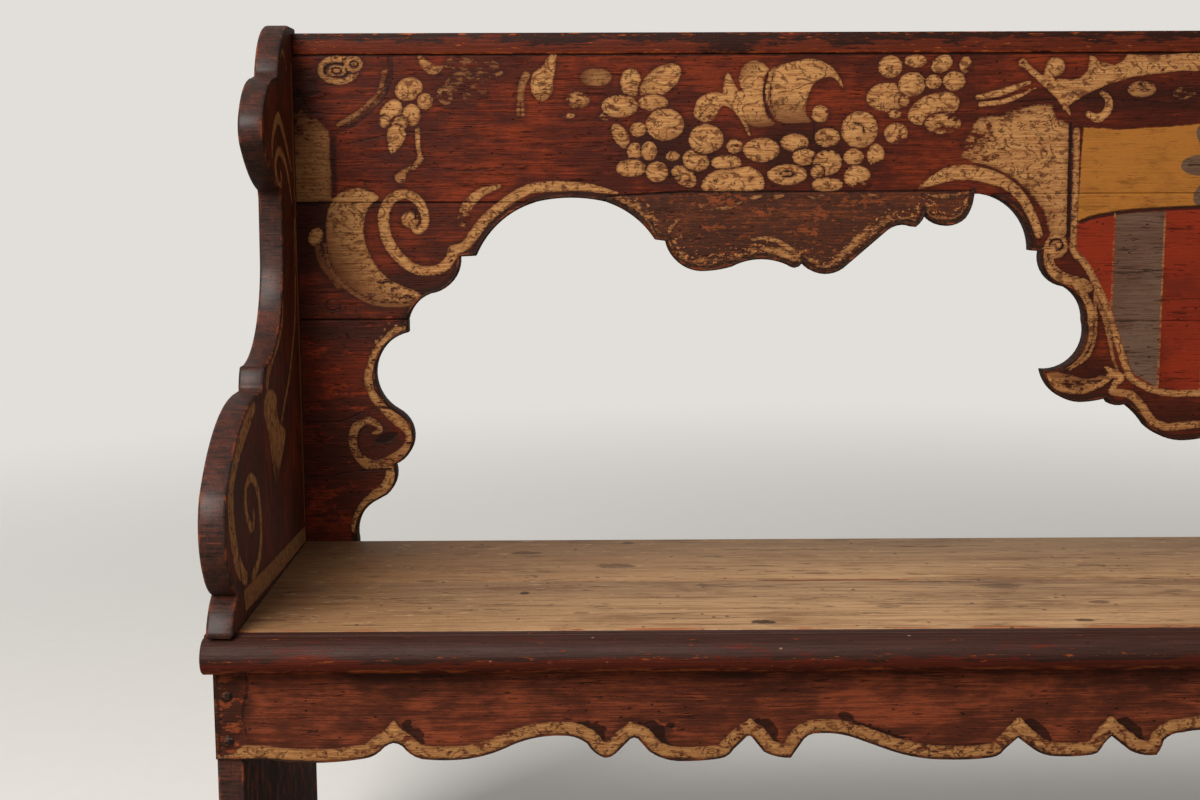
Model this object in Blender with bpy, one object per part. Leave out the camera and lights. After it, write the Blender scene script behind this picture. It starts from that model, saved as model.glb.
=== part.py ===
"""Painted plank bench: shaped end boards, a cut-out back with a hanging shield, a two-board seat
with a moulded front edge, and a scalloped apron. Metres, +Z up, the bench faces -Y."""

import math

import bmesh
import bpy
from mathutils import Matrix

# Driving dimensions
INNER_WIDTH = 2.380          # between the inner faces of the end boards
SEAT_HEIGHT = 0.465          # floor to the top of the seat
SEAT_DEPTH = 0.417           # front face of the back to the seat's front edge
SEAT_THICK = 0.030
SEAT_REAR_BOARD = 0.215      # depth of the rear one of the two seat boards
END_THICK = 0.029
END_TOP = 0.657              # top of the end boards above the seat
ARM_REACH = 0.458            # foremost point of the arm, from the front face of the back
BACK_THICK = 0.025
STILE_LOWER_WIDTH = 0.143
STILE_LOWER_HEIGHT = 0.290
STILE_UPPER_WIDTH = 0.302
STILE_UPPER_HEIGHT = 0.1485
TOP_BOARD_HEIGHT = 0.1845    # where it stands on the stiles
ARCH_RISE = 0.0054           # the arch's crown cut into the top board
CAP_HEIGHT = 0.026
CAP_PROUD = 0.003            # the cap rail stands this far in front of the board below it
PENDANT_WIDTH = 0.468
PENDANT_DROP = 0.105
PENDANT_FROM_CENTRE = 0.329  # shield axis to the near end of a pendant
PENDANT_HOUSING = 0.0125     # depth of a pendant's housing in the top board
PENDANT_FALL = 0.0055        # the housing is shallower by this much at its far end
PENDANT_TAPER = 0.097        # length over which it gets shallower
SHIELD_HALF_WIDTH = 0.318
SHIELD_UPPER_HEIGHT = 0.163
SHIELD_LOWER_HEIGHT = 0.157
SHIELD_HOUSING = 0.0085
NOSING_DEPTH = 0.035
NOSING_HEIGHT = 0.040
NOSING_OVERHANG = 0.005      # past the outer face of each end board
APRON_THICK = 0.022
APRON_HEIGHT = 0.115         # at its lowest scallop
LEG_SETBACK = 0.005          # front edge of a leg behind the apron's face
FOOT_FLARE = 0.006           # a foot's toe in front of its leg
FOOT_ARCH_WIDTH = 0.220
FOOT_ARCH_HEIGHT = 0.070
RAIL_THICK = 0.025
RAIL_HEIGHT = 0.100
BATTEN_WIDTH = 0.060
BATTEN_HEIGHT = 0.030
BATTEN_FROM_END = 0.300      # inner face of an end board to the middle of the outer battens
SEAT_HOUSING = 0.010         # depth of the seat's groove in an end board
RAIL_HOUSING = 0.010
BACK_REBATE = 0.012          # depth of the rebate that takes the back's boards
DOWEL_RADIUS = 0.005
DOWEL_LENGTH = 0.036
DOWEL_INSET = 0.030          # end of a straight seam to its outermost dowel
FEATHER = 0.066              # thin end of a board's seam, too shallow for a dowel
NAIL_SHANK = 0.0020          # radius under the head
NAIL_HEAD = 0.0060
NAIL_HEAD_HEIGHT = 0.0025
NAIL_CROWN = 0.0033          # radius where the hammered head breaks to its rim
NAIL_POINT = 0.013           # tapered end
NAIL_LENGTH = 0.042
NAIL_EDGE = 0.020            # nail to the edge of the board that it holds
GAP = 0.0003                 # left between pieces that touch
FACET = 7                    # longest chord on a drawn round stretch, millimetres
FLAT = math.radians(0.2)     # a board's broad faces and straight edges are one face each
DOWEL_SIDES = 10
NAIL_SIDES = 8

# Levels and faces that follow from them
HALF_INNER = INNER_WIDTH / 2
HALF_OUTER = HALF_INNER + END_THICK
FRONT_REACH = max(ARM_REACH, SEAT_DEPTH + NOSING_DEPTH)
REAR_REACH = BACK_THICK + NAIL_HEAD_HEIGHT
BACK_FACE = (FRONT_REACH - REAR_REACH) / 2     # Y of the back's front face
REAR_FACE = BACK_FACE + BACK_THICK
SEAT_FRONT = BACK_FACE - SEAT_DEPTH
SEAT_UNDER = SEAT_HEIGHT - SEAT_THICK
STILE_SEAM = SEAT_HEIGHT + STILE_LOWER_HEIGHT
TOP_SEAM = STILE_SEAM + STILE_UPPER_HEIGHT     # underside of the long top board over the stiles
PENDANT_SEAM = TOP_SEAM + PENDANT_HOUSING
SHIELD_TOP = TOP_SEAM + SHIELD_HOUSING
CAP_SEAM = TOP_SEAM + TOP_BOARD_HEIGHT
SHIELD_SEAM = SHIELD_TOP - SHIELD_UPPER_HEIGHT
APRON_TOP = SEAT_UNDER - GAP
APRON_BACK = SEAT_FRONT + APRON_THICK
RAIL_TOP = SEAT_UNDER - GAP
RAIL_BOTTOM = RAIL_TOP - RAIL_HEIGHT
RAIL_BACK = BACK_FACE - GAP

# Paint and metal of the pieces: colour, roughness, metallic
RED_PAINT = ((0.16, 0.022, 0.009), 0.55, 0.0)
BARE_WOOD = ((0.26, 0.14, 0.065), 0.60, 0.0)
DARK_PAINT = ((0.045, 0.018, 0.012), 0.45, 0.0)
RAW_WOOD = ((0.20, 0.11, 0.055), 0.75, 0.0)
OLD_IRON = ((0.05, 0.045, 0.04), 0.65, 0.9)

# Outlines drawn in millimetres on a sheet of the given size. Each stretch runs to (x, y) and bows
# to the left of its run by the third number.
LOWER_STILE_SHEET = (143, 290)
LOWER_STILE_START = (67, 0)
LOWER_STILE_EDGE = [
    (88, 51, 8.4), (106, 61, 0), (117.5, 101, -6.5),   # hollow and small lobe above the seat
    (122, 172, -23),                                   # round lobe
    (138, 273.5, 35), (138, 290, 0),                   # deep hollow
]
UPPER_STILE_SHEET = (302, 148.5)
UPPER_STILE_START = (138, 0)
UPPER_STILE_EDGE = [(168, 33, 5.5), (206, 80, -12), (226, 81, 0), (302, 148.5, 11.3)]
ARCH_CROWN_SHEET = (91, 5.4)
ARCH_CROWN_EDGE = [(91, 0, 5.4)]
PENDANT_SHEET = (468, 105)
PENDANT_START = (0, -12.5)
PENDANT_EDGE = [
    (61.5, -60, 6.6), (75, -62, 0),                    # end of the arch and its step
    (127, -100.5, -12.4), (160, -95, -1), (231.5, -93.5, 8.4), (240, -97, -0.6), (250, -91, -1.5),
    (303, -97.5, -10.6), (358.5, -49.5, 0), (389, -45, 4.2), (394.5, -45.5, 0), (406, -30, -1.6),
    (458, -34.5, -12), (468, -5, -2.4),
]
UPPER_SHIELD_SHEET = (318, 163)
UPPER_SHIELD_EDGE = [(-255.5, -72, 17.4), (-241.5, -73, 0), (-207, -119.5, -12.4), (-182, -163, 6.8)]
LOWER_SHIELD_SHEET = (318, 157)
LOWER_SHIELD_EDGE = [
    (-234.5, -63, 22), (-234, -66, 0),                 # hollow above the hook and its blunt tip
    (-185, -105.5, -10.4), (-152, -101, -1), (-145, -108, 1), (-125, -108.5, -1.7),
    (-96.5, -137, 2), (-46, -156.5, -5.6), (0, -147, -1.9),
]
END_SHEET = (458, 657)
END_START = (-20, 657)
END_EDGE = [
    (-100, 592, -16), (-124, 588, 0),                  # crown and its step
    (-196, 545, -10), (-196, 508, -6), (-103, 455, -8),    # upper lobe
    (-99, 446, 0), (-103, 365, 0), (-235, 259, 32), (-246, 233, -2), (-268, 233, 0),
    (-446, 152, -22), (-446, 70, -12), (-412, 38, -4),     # arm
    (-443, 0, -5),
]
APRON_SHEET = (1219, 115)
APRON_START = (0, -110)
APRON_EDGE = [
    (50, -110, 0), (158, -110, -4.5), (175, -102, -1.5), (189, -93, 1.5), (202, -101, 2),
    (219, -111, -1.5), (269, -111, -1.5), (309, -99, -1.5), (369, -86, 4), (395, -95, 2.5),
    (414, -111, -2.5), (425, -106.5, -1), (441, -90, 0), (449, -90, 1.5), (461, -104, 0),
    (496, -115, -3), (535, -112.5, -0.8), (551, -102, -2.5), (565, -88, 0), (570, -88.5, 1),
    (583, -105, 0), (612, -112, -2), (626, -91, 0), (641, -85, 2), (684, -92, 2.5),
    (719, -105, 0), (778, -115, -2.5), (826, -113, -1), (840, -104, -2), (854, -91, 0),
    (871, -104, 0), (895, -112, -2), (934, -110.5, -1), (943, -104, -1.5), (954, -90, 1),
    (974, -106, 0), (1003, -111, -2.5), (1010, -95, -1), (1029, -86.5, 2.5), (1079, -88, 3.5),
    (1109, -99, 1), (1159, -113, -2), (1219, -114, -0.5),
]
FOOT_ARCH_SHEET = (220, 70)
FOOT_ARCH_EDGE = [(220, 0, 70)]
NOSING_SHEET = (35, 40)
NOSING_EDGE = [(-11, 0, 0), (-11, -2, 0), (-35, -22, -7), (-18, -40, -5), (0, -40, 0)]


def clear_scene():
    for old in list(bpy.data.objects):
        bpy.data.objects.remove(old, do_unlink=True)


def new_collection(name):
    collection = bpy.data.collections.new(name)
    bpy.context.scene.collection.children.link(collection)
    return collection


def finish_material(name, finish):
    colour, roughness, metallic = finish
    material = bpy.data.materials.new(name)
    material.use_nodes = True
    shader = material.node_tree.nodes["Principled BSDF"]
    shader.inputs["Base Color"].default_value = (*colour, 1.0)
    shader.inputs["Roughness"].default_value = roughness
    shader.inputs["Metallic"].default_value = metallic
    return material


def arc(start, end, bow):
    """Points after start, up to end, on the arc that stands off its chord by bow."""
    along = (end[0] - start[0], end[1] - start[1])
    chord = math.hypot(*along)
    if bow == 0:
        return [end]
    radius = (chord * chord / 4 + bow * bow) / (2 * abs(bow))
    half_turn = 2 * math.atan2(2 * abs(bow), chord)
    steps = max(2, math.ceil(2 * half_turn * radius / FACET))
    side = math.copysign(1, bow)
    points = []
    for step in range(1, steps):
        turn = half_turn * (2 * step / steps - 1)
        run = 0.5 + radius * math.sin(turn) / chord
        rise = (side * radius * (math.cos(turn) - 1) + bow) / chord
        points.append((start[0] + run * along[0] - rise * along[1],
                       start[1] + run * along[1] + rise * along[0]))
    return points + [end]


def drawn(start, edge, sheet, size):
    """An edge traced in millimetres on its sheet and fitted to the real width and height."""
    points = [start]
    for x, y, bow in edge:
        points += arc(points[-1], (x, y), bow)
    return [(x / sheet[0] * size[0], y / sheet[1] * size[1]) for x, y in points]


def moved(points, across, up):
    return [(x + across, y + up) for x, y in points]


def mirrored(points):
    """The same outline on the other side of the bench, still in order."""
    return [(-x, y) for x, y in reversed(points)]


def both_halves(points):
    """A left half outline with its mirror image after it, sharing a point on the middle line."""
    shared = points[-1][0] == 0
    return (points[:-1] if shared else points) + mirrored(points)


def plank(name, outline, low, high, turn, finish, collection):
    """A flat outline given its thickness from low to high, square to the outline."""
    curve = bpy.data.curves.new(name, "CURVE")
    curve.dimensions = "2D"
    curve.fill_mode = "BOTH"
    curve.extrude = (high - low) / 2
    spline = curve.splines.new("POLY")
    spline.points.add(len(outline) - 1)
    for point, (x, y) in zip(spline.points, outline):
        point.co = (x, y, 0, 1)
    spline.use_cyclic_u = True
    sketch = bpy.data.objects.new(name + "_sketch", curve)
    collection.objects.link(sketch)
    sketch.matrix_world = turn @ Matrix.Translation((0, 0, (low + high) / 2))
    bpy.context.view_layer.update()
    evaluated = sketch.evaluated_get(bpy.context.evaluated_depsgraph_get())
    mesh = bpy.data.meshes.new_from_object(evaluated)
    mesh.transform(sketch.matrix_world)
    bpy.data.objects.remove(sketch)
    shape = bmesh.new()
    shape.from_mesh(mesh)
    bmesh.ops.remove_doubles(shape, verts=shape.verts, dist=0.00001)
    bmesh.ops.dissolve_degenerate(shape, dist=0.00001, edges=shape.edges)
    bmesh.ops.dissolve_limit(shape, angle_limit=FLAT, verts=shape.verts, edges=shape.edges)
    bmesh.ops.recalc_face_normals(shape, faces=shape.faces)
    shape.to_mesh(mesh)
    shape.free()
    return place(name, mesh, finish, collection)


def front_plank(name, outline, front, thick, finish):
    """A board whose outline is seen from the front: x is X and y is Z."""
    turn = Matrix.Rotation(math.radians(90), 4, "X")
    return plank(name, outline, -front - thick, -front, turn, finish, PARTS)


def side_plank(name, outline, left, thick, finish):
    """A board whose outline is seen from the side: x is Y and y is Z."""
    turn = Matrix.Rotation(math.radians(90), 4, "Z") @ Matrix.Rotation(math.radians(90), 4, "X")
    return plank(name, outline, left, left + thick, turn, finish, PARTS)


def place(name, mesh, finish, collection):
    piece = bpy.data.objects.new(name, mesh)
    collection.objects.link(piece)
    if finish:
        mesh.materials.clear()
        mesh.materials.append(finish_material(name, finish))
    return piece


def box_mesh(name, low, high):
    shape = bmesh.new()
    bmesh.ops.create_cube(shape, size=1.0)
    middle = [(a + b) / 2 for a, b in zip(low, high)]
    size = [b - a for a, b in zip(low, high)]
    bmesh.ops.scale(shape, verts=shape.verts, vec=size)
    bmesh.ops.translate(shape, verts=shape.verts, vec=middle)
    mesh = bpy.data.meshes.new(name)
    shape.to_mesh(mesh)
    shape.free()
    return mesh


def box(name, low, high, finish):
    return place(name, box_mesh(name, low, high), finish, PARTS)


def rod_mesh(name, radius, length, sides):
    """An upright round rod about the origin."""
    shape = bmesh.new()
    bmesh.ops.create_cone(shape, cap_ends=True, segments=sides, radius1=radius, radius2=radius,
                          depth=length)
    mesh = bpy.data.meshes.new(name)
    shape.to_mesh(mesh)
    shape.free()
    return mesh


def as_cutter(mesh, matrix):
    cutter = place(mesh.name, mesh, None, CUTTERS)
    cutter.matrix_world = matrix
    cutter.display_type = "WIRE"
    cutter.hide_render = True
    return cutter


def cut(piece, cutter):
    boolean = piece.modifiers.new(cutter.name, "BOOLEAN")
    boolean.operation = "DIFFERENCE"
    boolean.object = cutter


def box_cut(piece, name, low, high):
    cut(piece, as_cutter(box_mesh(name, low, high), Matrix()))


def dowel(name, x, seam, upper, lower):
    """A dowel across the seam of two boards, with its hole in both."""
    at = Matrix.Translation((x, BACK_FACE + BACK_THICK / 2, seam - GAP / 2))
    pin = place(name, rod_mesh(name, DOWEL_RADIUS, DOWEL_LENGTH, DOWEL_SIDES), RAW_WOOD, PARTS)
    pin.matrix_world = at
    hole = rod_mesh(name + "_hole", DOWEL_RADIUS + GAP, DOWEL_LENGTH + 2 * GAP, DOWEL_SIDES)
    cutter = as_cutter(hole, at)
    cut(upper, cutter)
    cut(lower, cutter)


def dowel_row(name, low, high, count, seam, upper, lower):
    """Dowels spread along the seam between two X places."""
    first = low + DOWEL_INSET
    pitch = (high - low - 2 * DOWEL_INSET) / (count - 1)
    for index in range(count):
        dowel(f"{name}_dowel_{index + 1}", first + index * pitch, seam, upper, lower)


def nail(name, x, face, z, inward, boards):
    """A forged nail driven along Y from a board's face, with its hole in each board it holds."""
    profile = [(0, NAIL_HEAD_HEIGHT), (NAIL_CROWN, NAIL_HEAD_HEIGHT - GAP), (NAIL_HEAD, GAP),
               (NAIL_SHANK, GAP), (NAIL_SHANK, NAIL_POINT - NAIL_LENGTH), (0, -NAIL_LENGTH)]
    mesh = bpy.data.meshes.new(name)
    shape = bmesh.new()
    ring = [shape.verts.new((across, 0, up)) for across, up in profile]
    edges = [shape.edges.new(pair) for pair in zip(ring, ring[1:])]
    bmesh.ops.spin(shape, geom=ring + edges, cent=(0, 0, 0), axis=(0, 0, 1),
                   angle=2 * math.pi, steps=NAIL_SIDES, use_merge=True)
    bmesh.ops.remove_doubles(shape, verts=shape.verts, dist=0.00001)
    bmesh.ops.recalc_face_normals(shape, faces=shape.faces)
    shape.to_mesh(mesh)
    shape.free()
    spike = place(name, mesh, OLD_IRON, PARTS)
    turn = Matrix.Rotation(math.radians(90 * inward), 4, "X")
    spike.matrix_world = Matrix.Translation((x, face, z)) @ turn
    depth = NAIL_LENGTH + 2 * GAP
    hole = rod_mesh(name + "_hole", NAIL_SHANK + GAP, depth, NAIL_SIDES)
    middle = face + inward * (depth / 2 - GAP)
    cutter = as_cutter(hole, Matrix.Translation((x, middle, z)) @ turn)
    for board in boards:
        cut(board, cutter)


def end_outline():
    """Side view of an end board: crown, lobes and arm, then the apron's notch, the leg and feet."""
    front = drawn(END_START, END_EDGE, END_SHEET, (ARM_REACH, END_TOP))
    front = moved(front, BACK_FACE, SEAT_HEIGHT)
    foot_bottom = SEAT_HEIGHT + GAP
    front[-1] = (front[-1][0], foot_bottom)
    notch_bottom = APRON_TOP + APRON_START[1] / APRON_SHEET[1] * APRON_HEIGHT - GAP
    notch_back = APRON_BACK + GAP
    leg_front = SEAT_FRONT + LEG_SETBACK
    middle = (leg_front + REAR_FACE) / 2
    arch = drawn((0, 0), FOOT_ARCH_EDGE, FOOT_ARCH_SHEET, (FOOT_ARCH_WIDTH, FOOT_ARCH_HEIGHT))
    arch = moved(arch, middle - FOOT_ARCH_WIDTH / 2, 0)
    leg = [(SEAT_FRONT, foot_bottom), (SEAT_FRONT, SEAT_UNDER), (notch_back, SEAT_UNDER),
           (notch_back, notch_bottom), (leg_front, notch_bottom), (leg_front - FOOT_FLARE, 0)]
    return front + leg + arch + [(REAR_FACE, 0), (REAR_FACE, SEAT_HEIGHT + END_TOP)]


def end_board(name, side):
    """One end board; side is -1 on the left and 1 on the right."""
    left = -HALF_OUTER if side < 0 else HALF_INNER
    board = side_plank(name, end_outline(), left, END_THICK, RED_PAINT)
    inner = side * HALF_INNER
    past = inner - side * END_THICK

    def groove(label, depth, low_y, high_y, low_z, high_z):
        reach = sorted((past, inner + side * (depth + GAP)))
        box_cut(board, f"{name}_{label}", (reach[0], low_y, low_z), (reach[1], high_y, high_z))

    groove("seat_groove", SEAT_HOUSING, SEAT_FRONT - END_THICK, BACK_FACE,
           SEAT_UNDER - GAP / 2, SEAT_HEIGHT + GAP / 2)
    groove("rail_groove", RAIL_HOUSING, RAIL_BACK - RAIL_THICK - GAP, BACK_FACE,
           RAIL_BOTTOM - GAP, SEAT_UNDER)
    groove("back_rebate", BACK_REBATE, BACK_FACE - GAP, REAR_FACE + END_THICK,
           RAIL_BOTTOM - GAP, CAP_SEAM)
    return board


def lower_stile(name, side):
    """The board that stands on the rail behind the seat and carries the lower scrolls."""
    edge = drawn(LOWER_STILE_START, LOWER_STILE_EDGE, LOWER_STILE_SHEET,
                 (STILE_LOWER_WIDTH, STILE_LOWER_HEIGHT - GAP))
    edge = moved(edge, -HALF_INNER, SEAT_HEIGHT)
    housed = -HALF_INNER - BACK_REBATE
    outline = edge + [(housed, edge[-1][1]), (housed, RAIL_BOTTOM), (edge[0][0], RAIL_BOTTOM)]
    return back_board(name, outline, side)


def upper_stile(name, side):
    edge = drawn(UPPER_STILE_START, UPPER_STILE_EDGE, UPPER_STILE_SHEET,
                 (STILE_UPPER_WIDTH, STILE_UPPER_HEIGHT - GAP))
    edge = moved(edge, -HALF_INNER, STILE_SEAM)
    housed = -HALF_INNER - BACK_REBATE
    return back_board(name, edge + [(housed, edge[-1][1]), (housed, STILE_SEAM)], side)


def pendant(name, side):
    """The scalloped board that hangs in the top board's housing between stile and shield."""
    edge = drawn(PENDANT_START, PENDANT_EDGE, PENDANT_SHEET, (PENDANT_WIDTH, PENDANT_DROP))
    top = [(PENDANT_WIDTH, 0), (PENDANT_TAPER, 0), (0, -PENDANT_FALL)]
    outline = moved(edge + top, -PENDANT_FROM_CENTRE - PENDANT_WIDTH, PENDANT_SEAM - GAP)
    return back_board(name, outline, side)


def top_board():
    """The long board on the stiles, with the crowns of the arches and the housings in its lower edge."""
    stile_end = STILE_UPPER_WIDTH - HALF_INNER
    far = -PENDANT_FROM_CENTRE - PENDANT_WIDTH - GAP
    near = -PENDANT_FROM_CENTRE + GAP
    crown = drawn((0, 0), ARCH_CROWN_EDGE, ARCH_CROWN_SHEET, (far - stile_end, ARCH_RISE))
    housed = HALF_INNER + BACK_REBATE
    half = [(-housed, TOP_SEAM)] + moved(crown, stile_end, TOP_SEAM)
    half += [(far, PENDANT_SEAM - PENDANT_FALL), (far + PENDANT_TAPER, PENDANT_SEAM),
             (near, PENDANT_SEAM), (near, SHIELD_TOP)]
    upper_edge = [(housed, CAP_SEAM - GAP), (-housed, CAP_SEAM - GAP)]
    return front_plank("back_top_board", both_halves(half) + upper_edge, BACK_FACE, BACK_THICK, RED_PAINT)


def back_board(name, outline, side):
    outline = outline if side < 0 else mirrored(outline)
    return front_plank(name, outline, BACK_FACE, BACK_THICK, RED_PAINT)


def shield(name, start, edge, sheet, height, top):
    half = drawn(start, edge, sheet, (SHIELD_HALF_WIDTH, height - GAP))
    outline = moved(both_halves(half), 0, top)
    return front_plank(name, outline, BACK_FACE, BACK_THICK, RED_PAINT)


def build_back():
    """The boards of the back, edge to edge, with the dowels in their seams."""
    top = top_board()
    box("cap_rail", (-HALF_INNER + GAP, BACK_FACE - CAP_PROUD, CAP_SEAM),
        (HALF_INNER - GAP, REAR_FACE, CAP_SEAM + CAP_HEIGHT), DARK_PAINT)
    tails = []
    for side, word in ((-1, "left"), (1, "right")):
        lower = lower_stile(f"{word}_stile_lower_board", side)
        upper = upper_stile(f"{word}_stile_upper_board", side)
        hanging = pendant(f"{word}_pendant_board", side)
        narrow = LOWER_STILE_EDGE[-1][0] / LOWER_STILE_SHEET[0] * STILE_LOWER_WIDTH
        span = sorted((side * HALF_INNER, side * (HALF_INNER - narrow)))
        dowel_row(f"{word}_stile", *span, 2, STILE_SEAM, upper, lower)
        span = sorted((side * HALF_INNER, side * (HALF_INNER - STILE_UPPER_WIDTH + FEATHER)))
        dowel_row(f"{word}_top", *span, 2, TOP_SEAM, top, upper)
        near = PENDANT_FROM_CENTRE + FEATHER
        far = PENDANT_FROM_CENTRE + PENDANT_WIDTH - FEATHER
        dowel_row(f"{word}_pendant", *sorted((side * near, side * far)), 2, PENDANT_SEAM, top, hanging)
        tails.append(lower)
    upper = shield("shield_upper_board", (-UPPER_SHIELD_SHEET[0], 0), UPPER_SHIELD_EDGE,
                   UPPER_SHIELD_SHEET, SHIELD_UPPER_HEIGHT, SHIELD_TOP - GAP)
    lower = shield("shield_lower_board", (UPPER_SHIELD_EDGE[-1][0], 0), LOWER_SHIELD_EDGE,
                   LOWER_SHIELD_SHEET, SHIELD_LOWER_HEIGHT, SHIELD_SEAM - GAP)
    wide = SHIELD_HALF_WIDTH - FEATHER
    dowel_row("shield_top", -wide, wide, 3, SHIELD_TOP, top, upper)
    narrow = -UPPER_SHIELD_EDGE[-1][0] / UPPER_SHIELD_SHEET[0] * SHIELD_HALF_WIDTH
    dowel_row("shield", -narrow, narrow, 3, SHIELD_SEAM, upper, lower)
    return tails


def build_seat():
    """Two seat boards, the moulded strip on their front edge, and the battens under them."""
    housed = HALF_INNER + SEAT_HOUSING
    seam = BACK_FACE - SEAT_REAR_BOARD
    box("seat_rear_board", (-housed, seam, SEAT_UNDER),
        (housed, BACK_FACE - GAP, SEAT_HEIGHT), BARE_WOOD)
    box("seat_front_board", (-housed, SEAT_FRONT, SEAT_UNDER),
        (housed, seam - GAP, SEAT_HEIGHT), BARE_WOOD)
    profile = drawn((0, 0), NOSING_EDGE, NOSING_SHEET, (NOSING_DEPTH, NOSING_HEIGHT))
    reach = HALF_OUTER + NOSING_OVERHANG
    side_plank("seat_nosing", moved(profile, SEAT_FRONT - GAP, SEAT_HEIGHT), -reach, 2 * reach,
               DARK_PAINT)
    places = (("left", BATTEN_FROM_END - HALF_INNER), ("middle", 0.0),
              ("right", HALF_INNER - BATTEN_FROM_END))
    for word, middle in places:
        box(f"{word}_seat_batten",
            (middle - BATTEN_WIDTH / 2, APRON_BACK + GAP, SEAT_UNDER - GAP - BATTEN_HEIGHT),
            (middle + BATTEN_WIDTH / 2, RAIL_BACK - RAIL_THICK - GAP, SEAT_UNDER - GAP), RAW_WOOD)


def build_apron():
    half = drawn(APRON_START, APRON_EDGE, APRON_SHEET, (HALF_OUTER, APRON_HEIGHT))
    edge = moved(both_halves(moved(half, -HALF_OUTER, 0)), 0, APRON_TOP)
    outline = edge + [(HALF_OUTER, APRON_TOP), (-HALF_OUTER, APRON_TOP)]
    return front_plank("front_apron", outline, SEAT_FRONT, APRON_THICK, RED_PAINT)


def build_rail():
    housed = HALF_INNER + RAIL_HOUSING
    return box("rear_seat_rail", (-housed, RAIL_BACK - RAIL_THICK, RAIL_BOTTOM),
               (housed, RAIL_BACK, RAIL_TOP), RAW_WOOD)


def build_nails(ends, apron, rail, tails):
    """Nails through the apron into the end boards, and through the stiles' tails into the rail."""
    drop = -APRON_START[1] / APRON_SHEET[1] * APRON_HEIGHT
    for side, word in ((-1, "left"), (1, "right")):
        end = ends[side]
        heights = (("upper", APRON_TOP - 2 * NAIL_EDGE), ("lower", APRON_TOP - drop + NAIL_EDGE))
        for level, z in heights:
            x = side * (HALF_INNER + END_THICK / 2)
            nail(f"{word}_apron_nail_{level}", x, SEAT_FRONT, z, 1, (apron, end))
    for tail, (side, word) in zip(tails, ((-1, "left"), (1, "right"))):
        x = side * (HALF_INNER - NAIL_EDGE)
        heights = (("upper", RAIL_TOP - NAIL_EDGE), ("lower", RAIL_BOTTOM + NAIL_EDGE))
        for level, z in heights:
            nail(f"{word}_tail_nail_{level}", x, REAR_FACE, z, -1, (tail, rail))


clear_scene()
PARTS = new_collection("painted_bench")
CUTTERS = new_collection("cutters")
END_BOARDS = {side: end_board(f"{word}_end_board", side) for side, word in ((-1, "left"), (1, "right"))}
TAILS = build_back()
build_seat()
build_nails(END_BOARDS, build_apron(), build_rail(), TAILS)
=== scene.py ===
"""Looks of the painted plank bench: worn red paint with gilt ornament on the back, the ends and the
apron, a bare seat and a dark moulded edge. Metres, +Z up. Ornament is laid out in millimetres: across
from an end board's inner face and up from the seat on the back, forward from the back and up from the
seat on the ends."""

from __future__ import annotations

import logging
import math
from collections.abc import Callable, Iterable, Sequence
from dataclasses import dataclass, field
from enum import Enum

import bmesh
import bpy
import numpy as np
from mathutils import Matrix, Vector
from mathutils.kdtree import KDTree

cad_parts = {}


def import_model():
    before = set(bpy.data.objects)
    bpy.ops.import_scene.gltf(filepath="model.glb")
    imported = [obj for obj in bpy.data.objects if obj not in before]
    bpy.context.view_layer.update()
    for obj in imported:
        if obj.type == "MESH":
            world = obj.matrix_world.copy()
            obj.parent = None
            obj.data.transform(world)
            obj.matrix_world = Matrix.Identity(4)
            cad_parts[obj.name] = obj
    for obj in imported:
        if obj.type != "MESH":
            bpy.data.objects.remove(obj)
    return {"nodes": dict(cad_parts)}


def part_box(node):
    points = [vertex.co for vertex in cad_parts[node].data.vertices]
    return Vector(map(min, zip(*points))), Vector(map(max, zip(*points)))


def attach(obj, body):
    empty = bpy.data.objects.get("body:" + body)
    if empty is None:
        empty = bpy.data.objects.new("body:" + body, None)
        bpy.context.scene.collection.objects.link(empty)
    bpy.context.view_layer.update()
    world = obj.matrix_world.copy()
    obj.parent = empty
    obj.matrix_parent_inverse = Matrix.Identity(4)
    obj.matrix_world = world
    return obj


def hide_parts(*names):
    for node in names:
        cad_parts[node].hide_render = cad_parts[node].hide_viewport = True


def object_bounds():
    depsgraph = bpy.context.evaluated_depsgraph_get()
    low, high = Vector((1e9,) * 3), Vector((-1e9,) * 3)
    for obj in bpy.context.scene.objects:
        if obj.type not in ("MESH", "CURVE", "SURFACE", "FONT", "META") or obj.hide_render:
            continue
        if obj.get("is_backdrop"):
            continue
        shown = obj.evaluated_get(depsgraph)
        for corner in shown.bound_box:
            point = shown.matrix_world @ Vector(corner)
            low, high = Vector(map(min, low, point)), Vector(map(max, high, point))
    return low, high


LOG = logging.getLogger("bench")
MM = 0.001
BODY = "root"
FAR = 14.0                   # millimetres outside a mark at which its field stops
HALO = 2.2                   # dark gap that the brush leaves round an outlined mark
SEAM_LINE = 1.3              # half width of the dark line along a joint, millimetres
THINNEST = 0.2               # least width of a stroke, millimetres
CURVE_STEPS = 7              # straight stretches to each span of a drawn curve
AT_CENTRE = 0.001            # share of an oval's size that counts as its centre
TINY = 1e-9                  # keeps a division away from zero
MERGE = 0.00001              # points this close, in metres, are one point
ON_CUT = 0.000001            # a point this close to a cut, in metres, lies on it
FLAT = math.radians(0.17)    # faces that turn less than this are one face
TURNED = math.radians(30)    # an arris turns at least this much
SMOOTH = math.radians(38)    # an edge that turns more than this is shaded as a sharp one
MOULDED = math.radians(40)   # an edge of the nosing that turns more than this is rounded
COAT_ROUGHNESS = 0.35

FRONT = Vector((0, -1, 0))   # the way that the bench faces

Colour = tuple[float, float, float]
Projection = Callable[[np.ndarray], np.ndarray]


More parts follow.
